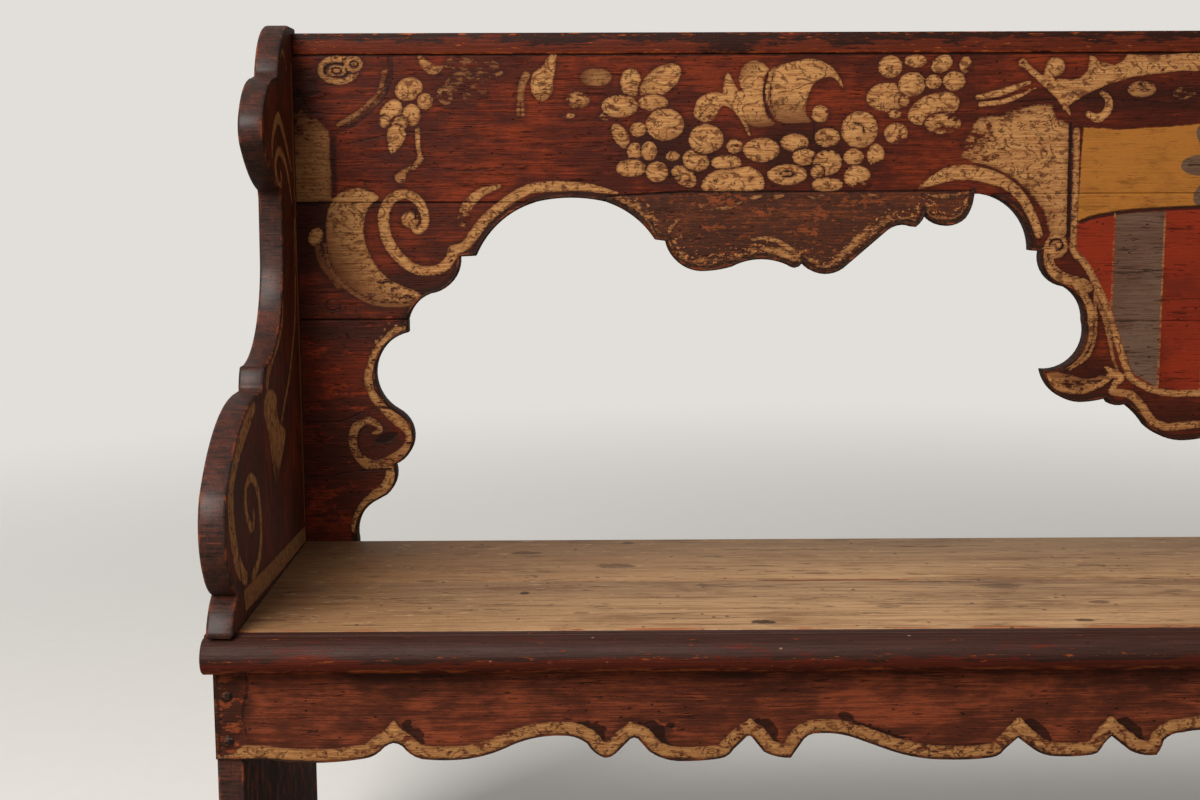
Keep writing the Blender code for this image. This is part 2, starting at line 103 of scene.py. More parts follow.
def srgb(red: int, green: int, blue: int) -> Colour:
    """Turns a colour as a screen shows it into the linear one that a shader takes.

    Args:
        red: 0 to 255.
        green: 0 to 255.
        blue: 0 to 255.

    Returns:
        The linear colour, 0 to 1.
    """
    def linear(part: int) -> float:
        """One channel."""
        share = part / 255
        return share / 12.92 if share <= 0.04045 else ((share + 0.055) / 1.055) ** 2.4
    return linear(red), linear(green), linear(blue)


class Value:
    """A shader value. An expression on values adds its Math nodes."""

    def __init__(self, shading: Shading, socket: bpy.types.NodeSocket) -> None:
        """Keeps a socket and the shading that it belongs to."""
        self.shading = shading
        self.socket = socket

    def __add__(self, other: Value | float) -> Value:
        """self + other"""
        return self.shading.math("ADD", self, other)

    def __radd__(self, other: float) -> Value:
        """other + self"""
        return self.shading.math("ADD", other, self)

    def __sub__(self, other: Value | float) -> Value:
        """self - other"""
        return self.shading.math("SUBTRACT", self, other)

    def __rsub__(self, other: float) -> Value:
        """other - self"""
        return self.shading.math("SUBTRACT", other, self)

    def __mul__(self, other: Value | float) -> Value:
        """self * other"""
        return self.shading.math("MULTIPLY", self, other)

    def __rmul__(self, other: float) -> Value:
        """other * self"""
        return self.shading.math("MULTIPLY", other, self)

    def __truediv__(self, other: Value | float) -> Value:
        """self / other"""
        return self.shading.math("DIVIDE", self, other)

    def __rtruediv__(self, other: float) -> Value:
        """other / self"""
        return self.shading.math("DIVIDE", other, self)

    def __abs__(self) -> Value:
        """Distance from zero."""
        return self.shading.math("ABSOLUTE", self)

    def most(self, other: Value | float) -> Value:
        """The larger of two values."""
        return self.shading.math("MAXIMUM", self, other)

    def off(self, weight: float) -> Value:
        """How far a noise is from its middle, times a weight."""
        return (self - 0.5) * weight

    def step(self, low: float, high: float) -> Value:
        """0 at low and 1 at high, eased between them.

        Args:
            low: the value that gives 0, which may be the larger one.
            high: the value that gives 1.

        Returns:
            The eased value.
        """
        node = self.shading.add("ShaderNodeMapRange", {"interpolation_type": "SMOOTHSTEP", "clamp": True},
                                {"Value": self, "From Min": min(low, high), "From Max": max(low, high),
                                 "To Min": float(low > high), "To Max": float(low < high)})
        return Value(self.shading, node.outputs["Result"])


class Grain(Enum):
    """The axis that a board's fibres follow."""

    ALONG = 0
    DEEP = 1
    UP = 2


class NodeTree:
    """The nodes of a material or of the world."""

    def __init__(self, tree: bpy.types.NodeTree) -> None:
        """Keeps the tree."""
        self.tree = tree

    def add(self, kind: str, settings: dict[str, object] | None = None, inputs: dict[str | int, object]
            | None = None) -> bpy.types.Node:
        """Adds any node.

        Args:
            kind: the node's type.
            settings: its properties, set before its sockets.
            inputs: values or links of its sockets, by name or number.

        Returns:
            The new node.
        """
        node = self.tree.nodes.new(kind)
        for key, setting in (settings or {}).items():
            setattr(node, key, setting)
        for key, entry in (inputs or {}).items():
            self.feed(node.inputs[key], entry)
        return node

    def feed(self, socket: bpy.types.NodeSocket, entry: object) -> None:
        """Links a value or a socket into a socket, or sets its number or colour.

        Args:
            socket: the socket to feed.
            entry: what it gets.
        """
        if isinstance(entry, Value):
            self.tree.links.new(entry.socket, socket)
        elif isinstance(entry, bpy.types.NodeSocket):
            self.tree.links.new(entry, socket)
        elif isinstance(entry, tuple) and socket.type == "RGBA":
            socket.default_value = (*entry, 1.0)
        else:
            socket.default_value = entry


class Shading(NodeTree):
    """The node tree of one material."""

    def __init__(self, name: str, grain: Grain) -> None:
        """Starts a material with one Principled shader.

        Args:
            name: the material's name.
            grain: the way of the wood under it.
        """
        self.material = bpy.data.materials.new(name)
        self.material.use_nodes = True
        super().__init__(self.material.node_tree)
        self.grain = grain
        self.shader = self.tree.nodes["Principled BSDF"]
        self.place = self.add("ShaderNodeTexCoord").outputs["Object"]

    def math(self, operation: str, *terms: Value | float) -> Value:
        """Adds a Math node on one or two terms."""
        node = self.add("ShaderNodeMath", {"operation": operation}, dict(enumerate(terms)))
        return Value(self, node.outputs["Value"])

    def attribute(self, name: str) -> Value:
        """A number kept at each point of the mesh."""
        node = self.add("ShaderNodeAttribute", {"attribute_name": name})
        return Value(self, node.outputs["Fac"])

    def axis(self, index: int) -> Value:
        """One coordinate of the surface, in metres."""
        node = self.add("ShaderNodeSeparateXYZ", None, {"Vector": self.place})
        return Value(self, node.outputs[index])

    def spread(self, size: float, run: float | None, seed: float, way: Grain
               | None = None) -> bpy.types.NodeSocket:
        """Coordinates in which a feature is one unit.

        Args:
            size: feature size across the grain, millimetres.
            run: feature size along the grain, or None for a round feature.
            seed: shifts the pattern.
            way: the axis of the run, where it isn't the grain's.

        Returns:
            The coordinates' socket.
        """
        scale = [1 / (size * MM)] * 3
        scale[(way or self.grain).value] = 1 / ((run or size) * MM)
        node = self.add("ShaderNodeMapping", None, {"Vector": self.place, "Scale": scale,
                                                    "Location": (seed, 1.7 * seed, 0.6 * seed)})
        return node.outputs["Vector"]

    def noise(self, size: float, run: float | None = None, detail: float = 3.0, rough: float = 0.5,
              warp: float = 0.0, seed: float = 0.0, way: Grain | None = None) -> Value:
        """Cloudy noise about 0.5.

        Args:
            size: feature size across the grain, millimetres.
            run: feature size along the grain, or None for round features.
            detail: octaves.
            rough: weight of the finer octaves.
            warp: distortion.
            seed: shifts the pattern.
            way: the axis of the run, where it isn't the grain's.

        Returns:
            The noise.
        """
        node = self.add("ShaderNodeTexNoise", None, {"Vector": self.spread(size, run, seed, way),
                                                     "Scale": 1.0, "Detail": detail, "Roughness": rough,
                                                     "Distortion": warp})
        return Value(self, node.outputs["Fac"])

    def cells(self, size: float, run: float | None = None, seed: float = 0.0) -> Value:
        """Distance from the nearest of scattered points, about 0 to 1."""
        node = self.add("ShaderNodeTexVoronoi", {"feature": "F1"},
                        {"Vector": self.spread(size, run, seed), "Scale": 1.0})
        return Value(self, node.outputs["Distance"])

    def blend(self, share: Value | float, first: object, second: object) -> bpy.types.NodeSocket:
        """Colour that goes from first to second as share goes from 0 to 1."""
        node = self.add("ShaderNodeMix", {"data_type": "RGBA"}, {0: share, 6: first, 7: second})
        return node.outputs[2]

    def finish(self, colour: object, rough: Value | float, height: Value, depth: float, sheen: float = 0.25,
               coat: Value | float = 0.0) -> bpy.types.Material:
        """Feeds the shader.

        Args:
            colour: base colour.
            rough: roughness.
            height: relief, 0 to about 1.
            depth: relief that a height of 1 stands for, millimetres.
            sheen: how strongly the surface mirrors, 0.5 for new varnish.
            coat: weight of a clear coat over it.

        Returns:
            The finished material.
        """
        bump = self.add("ShaderNodeBump", None, {"Strength": 1.0, "Distance": depth * MM, "Height": height})
        self.feed(self.shader.inputs["Base Color"], colour)
        self.feed(self.shader.inputs["Roughness"], rough)
        self.feed(self.shader.inputs["Coat Weight"], coat)
        self.feed(self.shader.inputs["Normal"], bump.outputs["Normal"])
        self.shader.inputs["Coat Roughness"].default_value = COAT_ROUGHNESS
        self.shader.inputs["Specular IOR Level"].default_value = sheen
        return self.material


RAW = srgb(112, 82, 56)
RAW_DARK = srgb(62, 44, 31)
WORN_WOOD = srgb(160, 78, 32)
GILT = srgb(200, 147, 90)
GILT_DEEP = srgb(154, 98, 55)
GILT_DIM = srgb(92, 48, 25)
CRAZE = srgb(70, 37, 19)
LINE = srgb(28, 13, 9)


@dataclass(frozen=True)
class Weather:
    """Patterns that all coats of one board share."""

    fibre: Value                 # fine grain
    dash: Value                  # short marks along the grain
    streak: Value                # broad grain
    cloud: Value                 # large patches
    fleck: Value                 # small round flecks
    patch: Value                 # worn patches

    @classmethod
    def on(cls, s: Shading, blotch: tuple[float, float]) -> Weather:
        """Adds the patterns to a shading, with worn patches of a size across and along the grain."""
        return cls(s.noise(1.7, 55, detail=4, rough=0.65), s.noise(1.6, 20, detail=3, rough=0.6, seed=13),
                   s.noise(8, 150, detail=4, rough=0.6, seed=3),
                   s.noise(80, 125, detail=4, rough=0.6, seed=7),
                   s.noise(3, 7, detail=3, rough=0.6, seed=11),
                   s.noise(*blotch, detail=5, rough=0.66, seed=29))


@dataclass(frozen=True)
class WornPaint:
    """Old oil paint on a plank, with gilding, dark lines, dirt and rubbed places kept on the mesh."""

    name: str
    grain: Grain = Grain.ALONG
    ground: Colour = srgb(96, 32, 14)
    bright: Colour = srgb(126, 48, 20)
    deep: Colour = srgb(47, 19, 11)
    bare: Colour = WORN_WOOD
    # the cut edge's paint, also laid as a dark band along the face's outline, partly painted shade of the
    # rounded arris
    edge: Colour = srgb(42, 24, 17)
    edge_red: Colour = srgb(66, 34, 22)
    arris_colour: Colour = srgb(134, 66, 30)
    grime: float = 0.5           # share of the ground under dark dirt
    rub: float = 0.3             # share of the ground that shows bare wood
    blotch: tuple[float, float] = (14, 34)   # size of worn patches, across and along the grain
    flakes: float = 0.0          # share of bright flakes, most near the edge
    arris: float = 0.8           # width of the rubbed arris, millimetres
    scratch: Grain = Grain.DEEP  # the way of scratches on the cut edges
    sheen: float = 0.12
    gloss: float = 0.0           # clear coat on the cut edges, rubbed smooth by hands
    heraldic: bool = False       # ochre, taupe and red fields are kept on the mesh too
    ochre: Colour = srgb(164, 104, 42)
    taupe: Colour = srgb(106, 84, 68)
    scarlet: Colour = srgb(132, 42, 20)

    def material(self) -> bpy.types.Material:
        """Builds the paint's shader.

        Returns:
            The material.
        """
        s = Shading(self.name, self.grain)
        w = Weather.on(s, self.blotch)
        colour = self.ground_colour(s, w)
        if self.heraldic:
            colour = self.heraldry(s, w, colour)
        colour, groove = self.age(s, w, colour)
        # a dark band along the outline: dark edge paint and painted shade of the rounded arris
        dark_rim_and_shade = s.attribute("edge") + w.cloud.off(3) + w.fleck.off(3)
        colour = s.blend(dark_rim_and_shade.step(6.4, 3.2) * 0.86, colour, self.edge)
        line = s.attribute("line") + w.fleck.off(2.4) + w.fibre.off(1.6)
        line = line.step(-0.6, 0.8)
        colour = s.blend(line * 0.8, colour, LINE)
        colour, gilt, craze = self.gilding(s, w, colour)
        colour, lump = self.edges(s, w, colour)
        rear = s.attribute("rear").step(0.4, 0.6)
        raw = s.blend(w.streak.step(0.3, 0.7), RAW_DARK, RAW)
        colour = s.blend(rear, colour, s.blend(w.fibre.step(0.25, 0.6), RAW_DARK, raw))
        rough = 0.4 + 0.3 * w.cloud + 0.1 * gilt + 0.16 * rear
        relief = (w.fibre * 0.4 + w.fleck * 0.2 + w.streak * 0.3 + gilt * 0.12 + lump - craze * 0.3
                  - line * 0.25 - groove * 0.4)
        coat = s.attribute("edge").step(0.2, -1) * self.gloss
        return s.finish(colour, rough, relief, 1.7, self.sheen, coat)

    def ground_colour(self, s: Shading, w: Weather) -> bpy.types.NodeSocket:
        """The painted ground, darker in dirt and round the gilding.

        Args:
            s: the shading.
            w: its patterns.

        Returns:
            The colour.
        """
        tint = w.patch * 0.5 + w.cloud * 0.4 + w.streak.off(0.38) + w.fibre.off(0.45)
        colour = s.blend(tint.step(0.36, 0.58), self.ground, self.bright)
        middle = 0.55 + 0.3 * self.grime
        dirt = w.cloud * 0.75 + w.patch * 0.45 + w.streak * 0.2 + w.fibre.off(0.35)
        colour = s.blend(dirt.step(middle + 0.16, middle - 0.16) * 0.7, colour, self.deep)
        colour = s.blend(w.dash.step(0.44, 0.34) * 0.34, colour, self.deep)
        return s.blend(s.attribute("gilt").step(-7, -0.5) * 0.42, colour, self.deep)

    def heraldry(self, s: Shading, w: Weather, colour: object) -> bpy.types.NodeSocket:
        """The plain fields inside the shield's frame.

        Args:
            s: the shading.
            w: its patterns.
            colour: the ground outside them.

        Returns:
            The colour.
        """
        dull_red = s.blend(0.5, self.scarlet, self.deep)
        red = s.blend(w.cloud.step(0.35, 0.65), self.scarlet, dull_red)
        colour = s.blend(s.attribute("red").step(-0.5, 0.5), colour, red)
        worn = w.cloud * 0.6 + w.patch * 0.4 + w.fibre.off(0.3)
        dull_ochre = s.blend(0.6, self.ochre, GILT_DIM)
        yellow = s.blend(worn.step(0.42, 0.66), self.ochre, dull_ochre)
        inside = s.attribute("ochre") + w.fleck.off(4)
        colour = s.blend(inside.step(-1, 1), colour, yellow)
        dull_taupe = s.blend(0.5, self.taupe, self.deep)
        grey = s.blend((w.fibre * 0.6 + w.cloud * 0.4).step(0.36, 0.6), dull_taupe, self.taupe)
        inside = s.attribute("taupe") + w.fleck.off(2)
        return s.blend(inside.step(-0.6, 0.6) * 0.94, colour, grey)

    def age(self, s: Shading, w: Weather, colour: object) -> tuple[bpy.types.NodeSocket, Value]:
        """Smudges, rubbed patches, dark grain, cracks and worm holes.

        Args:
            s: the shading.
            w: its patterns.
            colour: the fresh paint.

        Returns:
            The aged colour, and the share of dark grooves.
        """
        spread = w.cloud.off(46) + w.streak.off(40) + w.fibre.off(22)
        # the grime field: dark smudges of dirt and paint, and painted shade in the corner beside the end
        # boards
        colour = s.blend((s.attribute("grime") + spread).step(-7, 9) * 0.82, colour, self.deep)
        colour = s.blend(w.dash.step(0.62, 0.72) * 0.3, colour, self.bright)
        start = 0.8 - 0.2 * self.rub
        bare = w.patch + w.fleck.off(0.6) + s.attribute("rub").step(-10, 10) * 0.2
        bare_colour = s.blend(w.fleck.step(0.35, 0.65), self.bare, self.bright)
        colour = s.blend(bare.step(start, start + 0.06) * 0.75, colour, bare_colour)
        if self.flakes:
            flake = s.noise(4.5, 7, detail=4, rough=0.7, seed=43)
            near = s.attribute("edge").step(34, 4) * 0.13
            start = 0.74 - 0.1 * self.flakes
            flake = (flake + near).step(start, start + 0.03)
            colour = s.blend(flake * 0.9, colour, s.blend(w.fibre, WORN_WOOD, GILT))
        split = s.noise(6, 130, detail=3, rough=0.45, seed=23)
        crack = abs(split - 0.5).step(0.016, 0.005) * w.patch.step(0.5, 0.6)
        pits = s.cells(11, 17, seed=5).step(0.13, 0.06)
        groove = (w.dash.step(0.35, 0.27) * 0.7).most(crack).most(pits)
        if self.heraldic:
            groove = groove * (1 - 0.6 * s.attribute("ochre").step(-1, 1))
        return s.blend(groove * 0.75, colour, LINE), groove

    def gilding(self, s: Shading, w: Weather, colour: object) -> tuple[bpy.types.NodeSocket, Value, Value]:
        """Gilt marks with their shade, losses along the grain and curled cracks.

        Args:
            s: the shading.
            w: its patterns.
            colour: what lies under the gilding.

        Returns:
            The colour, the gilding's share and the cracks' share.
        """
        tone, inside = s.attribute("tone"), s.attribute("gilt")
        broken = s.noise(9, 14, detail=2, seed=37)
        ripple = s.noise(19, 26, detail=1.5, rough=0.4, warp=0.5, seed=31)
        hatch = s.math("PINGPONG", ripple * 6, 0.5).step(0.22, 0.08)
        hatch = hatch * broken.step(0.41, 0.53) * tone.step(0.7, 0.3)
        curl = abs(s.noise(6, 9, detail=1.5, warp=0.9, seed=33) - 0.5).step(0.05, 0.02)
        curl = curl * s.noise(9, 12, detail=1, seed=39).step(0.54, 0.62)
        craze = curl.most(s.cells(7.5, 10, seed=41).step(0.2, 0.11)) * tone.step(0.75, 0.35)
        shape = (inside + w.fleck.off(3) + w.fibre.off(2.2)).step(-0.5, 0.6)
        loss = (w.fibre.off(0.9) + w.streak.off(0.6) + broken.off(1.4) + w.dash.off(0.7)
                + w.fleck.off(1.3)) + 0.5
        gilt = shape * (s.attribute("cover") - loss).step(-0.08, 0.16)
        glint = w.fibre * 0.4 + w.dash * 0.4 + w.fleck * 0.2
        bright = s.blend(glint.step(0.38, 0.6), GILT_DEEP, GILT)
        bright = s.blend(hatch * 0.76, bright, GILT_DIM)
        tinted = s.blend(tone, bright, GILT_DIM)
        margin = (inside + broken.off(5)).step(3.4, 0.2)
        tinted = s.blend(margin * 0.38, tinted, GILT_DIM)
        tinted = s.blend(craze * 0.74, tinted, CRAZE)
        return s.blend(gilt * 0.96, colour, tinted), gilt, craze * gilt

    def edges(self, s: Shading, w: Weather, colour: object) -> tuple[bpy.types.NodeSocket, Value]:
        """The scratched cut edge and the rubbed arris between it and the face.

        Args:
            s: the shading.
            w: its patterns.
            colour: the face's colour.

        Returns:
            The colour, and the lumps of the cut edge.
        """
        rim = s.attribute("edge")
        side = rim.step(0.2, -0.8)
        scratch = s.noise(2.6, 30, detail=3, rough=0.6, seed=51, way=self.scratch)
        lump = s.noise(15, 21, detail=3, rough=0.55, seed=53)
        reddened = scratch * 0.35 + w.patch * 0.4 + lump * 0.4
        side_colour = s.blend(reddened.step(0.5, 0.68), self.edge, self.edge_red)
        side_colour = s.blend(scratch.step(0.42, 0.32) * 0.75, side_colour, LINE)
        side_colour = s.blend(scratch.step(0.66, 0.74) * 0.6, side_colour, self.arris_colour)
        colour = s.blend(side, colour, side_colour)
        worn = (abs(rim) + w.fleck.off(5) - self.arris).step(0.8, -1)
        worn = worn * (w.patch + lump.off(0.6)).step(0.48, 0.64)
        arris_colour = s.blend(w.fibre.step(0.4, 0.7), self.arris_colour, self.edge_red)
        colour = s.blend(worn * 0.8, colour, arris_colour)
        return colour, side * (lump * 1.5 + scratch * 0.6)


@dataclass(frozen=True)
class SeatWood:
    """Bare, scrubbed softwood of the seat."""

    name: str
    front: float                 # front edge of the boards
    seam: float                  # joint between them
    rear: float                  # rear edge that shows
    end: float                   # middle of the seat to its end
    light: Colour = srgb(190, 150, 109)
    middle: Colour = srgb(152, 115, 81)
    dark: Colour = srgb(106, 67, 37)
    # colour that the seat turns towards its rear edge: a painted sheen
    grey: Colour = srgb(128, 102, 76)
    pale: Colour = srgb(206, 170, 124)       # fresh scratches
    stains: tuple[tuple[float, float, float, float, float], ...] = ()   # place, half sizes, strength

    def material(self) -> bpy.types.Material:
        """Builds the wood's shader.

        Returns:
            The material.
        """
        s = Shading(self.name, Grain.ALONG)
        fibre = s.noise(2.4, 90, detail=4, rough=0.68)
        ring = s.noise(16, 420, detail=5, rough=0.64, warp=0.2, seed=2)
        cloud = s.noise(70, 210, detail=5, rough=0.62, seed=4)
        smudge = s.noise(40, 64, detail=4, rough=0.62, seed=12)
        fleck = s.noise(7, 10, detail=3, rough=0.6, seed=6)
        dash = s.noise(6, 17, detail=2, seed=10)
        vein = s.noise(11, 230, detail=3, rough=0.6, warp=0.3, seed=16)
        depth = s.axis(1)
        tint = ring * 0.4 + cloud * 0.6 + fibre.off(0.6)
        colour = s.blend(tint.step(0.34, 0.62), self.middle, self.light)
        colour = s.blend((cloud * 0.5 + smudge * 0.5).step(0.49, 0.34) * 0.5, colour, self.dark)
        colour = s.blend(fibre.step(0.47, 0.3) * 0.5, colour, self.dark)
        colour = s.blend(vein.step(0.46, 0.38) * 0.34, colour, self.dark)
        colour = s.blend(vein.step(0.58, 0.66) * 0.3, colour, self.light)
        line = abs(s.noise(24, 300, detail=4, rough=0.55, seed=14) - 0.5).step(0.014, 0.005)
        line = line * smudge.step(0.45, 0.56)
        speck = s.cells(34, 24, seed=8).step(0.13, 0.07) * smudge.step(0.42, 0.55)
        # painted sheen: the seat turns greyer towards its rear edge
        greyed = (depth + cloud.off(0.2)).step(self.front + 0.16, self.rear)
        colour = s.blend(greyed * 0.55, colour, self.grey)
        # darker towards the ends and towards the rear
        away = abs(s.axis(0)) + (depth - self.front) * 0.6
        darker_to_ends = away + cloud.off(0.4) + ring.off(0.25)
        colour = s.blend(darker_to_ends.step(self.end - 0.5, self.end + 0.16) * 0.7, colour, self.dark)
        lip = (depth + fleck.off(0.012)).step(self.front + 0.011, self.front + 0.002)
        colour = s.blend(lip * smudge.step(0.44, 0.56) * 0.6, colour, WORN_WOOD)
        joint = abs(depth - self.seam + ring.off(0.003)) + abs(s.axis(0)).step(0.62, 0.78)
        colour = s.blend(joint.step(0.006, 0.002) * cloud.step(0.4, 0.55) * 0.6, colour, WORN_WOOD)
        colour = s.blend(dash.step(0.64, 0.73) * 0.4, colour, self.pale)
        dint = (dash.step(0.33, 0.25) * 0.5).most(speck * 0.7).most(line * 0.6)
        dint = dint.most(joint.step(0.0026, 0.0012) * (cloud + (smudge - 0.5)).step(0.36, 0.5) * 0.9)
        for across, deep, length, width, strength in self.stains:
            along, over = abs(s.axis(0) - across) / length, abs(depth - deep) / width
            blot = along * along + over * over + fleck.off(2.4) + smudge.off(1.6)
            dint = dint.most(blot.step(1.1, 0.5) * strength)
        colour = s.blend(dint * 0.85, colour, LINE)
        rough = 0.5 + 0.26 * cloud
        return s.finish(colour, rough, fibre * 0.5 + ring * 0.35 + fleck * 0.2 - dint * 0.4, 1.1)


@dataclass(frozen=True)
class Moulding:
    """Dark varnished paint of the seat's moulded edge and of the cap rail, rubbed to red and to wood."""

    name: str
    low: float                   # height where the rubbed red and the painted shade show most
    high: float                  # height where they begin
    crest: float                 # height of the hardest rubbed line
    dark: Colour = srgb(68, 41, 34)
    red: Colour = srgb(74, 27, 15)
    bright: Colour = srgb(104, 36, 18)
    rubbed: Colour = srgb(156, 78, 37)
    chipped: Colour = srgb(170, 130, 100)
    wear: float = -0.08          # adds to the share of red
    sink: float = 0.5            # adds to it at the bottom
    worn: float = 0.025          # adds to the share of bare wood
    shade: float = 0.78          # painted shade: how much darker it is at the bottom
    sheen: float = 0.13

    def material(self) -> bpy.types.Material:
        """Builds the moulding's shader.

        Returns:
            The material.
        """
        s = Shading(self.name, Grain.ALONG)
        fibre = s.noise(2.0, 90, detail=4, rough=0.65)
        patch = s.noise(8, 34, detail=5, rough=0.7, seed=2)
        cloud = s.noise(34, 150, detail=3, seed=4)
        fleck = s.noise(2.6, 10, detail=3, rough=0.6, seed=6)
        height = s.axis(2)
        lower = height.step(self.high, self.low)
        red = patch + cloud.off(1.1) + fibre.off(0.4) + lower * self.sink + self.wear
        red_colour = s.blend(fibre.step(0.4, 0.8), self.red, self.bright)
        colour = s.blend(fibre.step(0.35, 0.65), s.blend(0.5, self.dark, LINE), self.dark)
        # painted shade: darker towards the bottom
        colour = s.blend(lower * self.shade, colour, LINE)
        colour = s.blend(red.step(0.59, 0.7) * 0.85, colour, red_colour)
        colour = s.blend(fleck.step(0.36, 0.28) * 0.6, colour, LINE)
        near = abs(height - self.crest).step(0.0055, 0.0005)
        rub = s.noise(3, 22, detail=4, rough=0.68, seed=9) + near * 0.07 + lower * 0.02 + self.worn
        under = (height + fleck.off(0.006)).step(self.low + 0.004, self.low - 0.001)
        bare = rub.step(0.69, 0.75).most(under * patch.step(0.46, 0.58))
        colour = s.blend(bare * 0.75, colour, self.rubbed)
        chip = s.cells(26, 50, seed=3).step(0.05, 0.02)
        colour = s.blend(chip * 0.7, colour, self.chipped)
        rough = 0.36 + 0.26 * patch + 0.15 * bare
        relief = fibre * 0.35 + patch * 0.5 + fleck * 0.2 - bare * 0.25
        return s.finish(colour, rough, relief, 1.3, self.sheen)


@dataclass(frozen=True)
class RawTimber:
    """Unpainted sawn wood of the hidden rails, battens and dowels."""

    name: str
    grain: Grain
    # grey dust on the sawn wood
    greyed: Colour = srgb(84, 72, 62)

    def material(self) -> bpy.types.Material:
        """Builds the sawn wood's shader.

        Returns:
            The material.
        """
        s = Shading(self.name, self.grain)
        fibre = s.noise(1.8, 130, detail=4, rough=0.6)
        ring = s.noise(12, 420, detail=3, warp=0.3, seed=2)
        cloud = s.noise(60, 160, detail=3, seed=4)
        colour = s.blend(ring.step(0.35, 0.65), RAW, RAW_DARK)
        colour = s.blend(fibre.step(0.46, 0.3) * 0.6, colour, RAW_DARK)
        colour = s.blend(cloud.step(0.5, 0.7) * 0.4, colour, self.greyed)
        return s.finish(colour, 0.66 + 0.2 * cloud, fibre * 0.6 + ring * 0.4, 0.6)


@dataclass(frozen=True)
class OldIron:
    """Hand-forged nails, black with rust."""

    name: str
    black: Colour = srgb(30, 26, 24)
    worn: Colour = srgb(62, 54, 49)
    rusty: Colour = srgb(98, 52, 28)

    def material(self) -> bpy.types.Material:
        """Builds the iron's shader.

        Returns:
            The material.
        """
        s = Shading(self.name, Grain.UP)
        scale = s.noise(2.2, detail=4, rough=0.6)
        rust = s.noise(5, detail=4, rough=0.65, seed=4).step(0.46, 0.62)
        colour = s.blend(scale.step(0.3, 0.7), self.black, self.worn)
        colour = s.blend(rust, colour, self.rusty)
        s.feed(s.shader.inputs["Metallic"], 0.8 - 0.7 * rust)
        return s.finish(colour, 0.45 + 0.35 * rust, scale * 0.7 + rust * 0.3, 0.4)


class Layer(Enum):
    """A coat that a mark belongs to, named as its field on the mesh."""

    GILT = "gilt"
    LINE = "line"
    OCHRE = "ochre"
    TAUPE = "taupe"
    RED = "red"
    GRIME = "grime"
    RUB = "rub"


def drawn_curve(knots: Sequence[Sequence[float]], closed: bool) -> np.ndarray:
    """A smooth curve through its knots.

    Args:
        knots: points, with a width as a third number on a stroke.
        closed: whether the last knot runs on to the first.

    Returns:
        Close points on the curve, one row each.
    """
    rows = np.array(knots, float)
    if closed:
        rows = np.vstack([rows[-1], rows, rows[0], rows[1]])
    else:
        rows = np.vstack([2 * rows[0] - rows[1], rows, 2 * rows[-1] - rows[-2]])
    share = np.linspace(0, 1, CURVE_STEPS, endpoint=False)[:, None]
    spans = []
    for before, first, last, after in zip(rows, rows[1:], rows[2:], rows[3:]):
        spans.append(0.5 * (2 * first + (last - before) * share
                            + (2 * before - 5 * first + 4 * last - after) * share ** 2
                            + (3 * first - before - 3 * last + after) * share ** 3))
    curve = np.vstack([*spans, rows[-2]])
    if curve.shape[1] > 2:
        curve[:, 2] = np.maximum(curve[:, 2], THINNEST)
    return curve


def run_distance(points: np.ndarray, first: np.ndarray, last: np.ndarray) -> tuple[np.ndarray, np.ndarray]:
    """Distance from a straight stretch.

    Args:
        points: places, one row each.
        first: the stretch's start.
        last: its end.

    Returns:
        The distance of each place, and how far along the stretch its nearest point is, 0 to 1.
    """
    along = last - first
    share = np.clip((points - first) @ along / max(along @ along, TINY), 0, 1)
    return np.hypot(*(points - first - share[:, None] * along).T), share


@dataclass(frozen=True)
class Oval:
    """A brushed oval. fade and shade point to where it loses gilding and darkens, by their length."""

    across: float
    up: float
    wide: float
    tall: float
    tilt: float = 0.0
    tone: float = 0.0
    cover: float = 1.0
    fade: tuple[float, float] = (0.0, 0.0)
    shade: tuple[float, float] = (0.22, -0.36)
    band: float = 0.0            # width of a ring, or 0 for a filled oval
    halo: float = HALO
    layer: Layer = Layer.GILT

    def box(self) -> tuple[np.ndarray, np.ndarray]:
        """Finds the mark's box.

        Returns:
            Its lowest and highest corner.
        """
        reach = max(self.wide, self.tall)
        centre = np.array((self.across, self.up))
        return centre - reach, centre + reach

    def inside(self, points: np.ndarray) -> np.ndarray:
        """Measures how far inside the oval places are.

        Args:
            points: places, one row each.

        Returns:
            Millimetres inside it, negative outside, for each place.
        """
        turn = math.radians(self.tilt)
        away = points - (self.across, self.up)
        right = away @ (math.cos(turn), math.sin(turn))
        over = away @ (-math.sin(turn), math.cos(turn))
        reach = np.hypot(right / self.wide, over / self.tall)
        slope = np.maximum(np.hypot(right / self.wide ** 2, over / self.tall ** 2), TINY)
        depth = reach * (1 - reach) / slope
        depth = np.where(reach < AT_CENTRE, min(self.wide, self.tall), depth)
        return np.minimum(depth, self.band - depth) if self.band else depth


@dataclass(frozen=True)
class Stroke:
    """A brush stroke through (across, up, width) knots."""

    knots: tuple[tuple[float, float, float], ...]
    tone: float = 0.0
    cover: float = 1.0
    fade: tuple[float, float] = (0.0, 0.0)
    shade: tuple[float, float] = (0.0, 0.0)
    halo: float = 0.0
    layer: Layer = Layer.GILT
    cap: float = FAR             # a low cap leaves the stroke thin and patchy

    def box(self) -> tuple[np.ndarray, np.ndarray]:
        """Finds the mark's box.

        Returns:
            Its lowest and highest corner.
        """
        curve = drawn_curve(self.knots, False)
        reach = curve[:, 2].max() / 2
        return curve[:, :2].min(0) - reach, curve[:, :2].max(0) + reach

    def inside(self, points: np.ndarray) -> np.ndarray:
        """Measures how far inside the stroke places are.

        Args:
            points: places, one row each.

        Returns:
            Millimetres inside it, negative outside, for each place.
        """
        curve = drawn_curve(self.knots, False)
        depth = np.full(len(points), -np.inf)
        for first, last in zip(curve, curve[1:]):
            away, share = run_distance(points, first[:2], last[:2])
            depth = np.maximum(depth, (first[2] + share * (last[2] - first[2])) / 2 - away)
        return np.minimum(depth, self.cap)


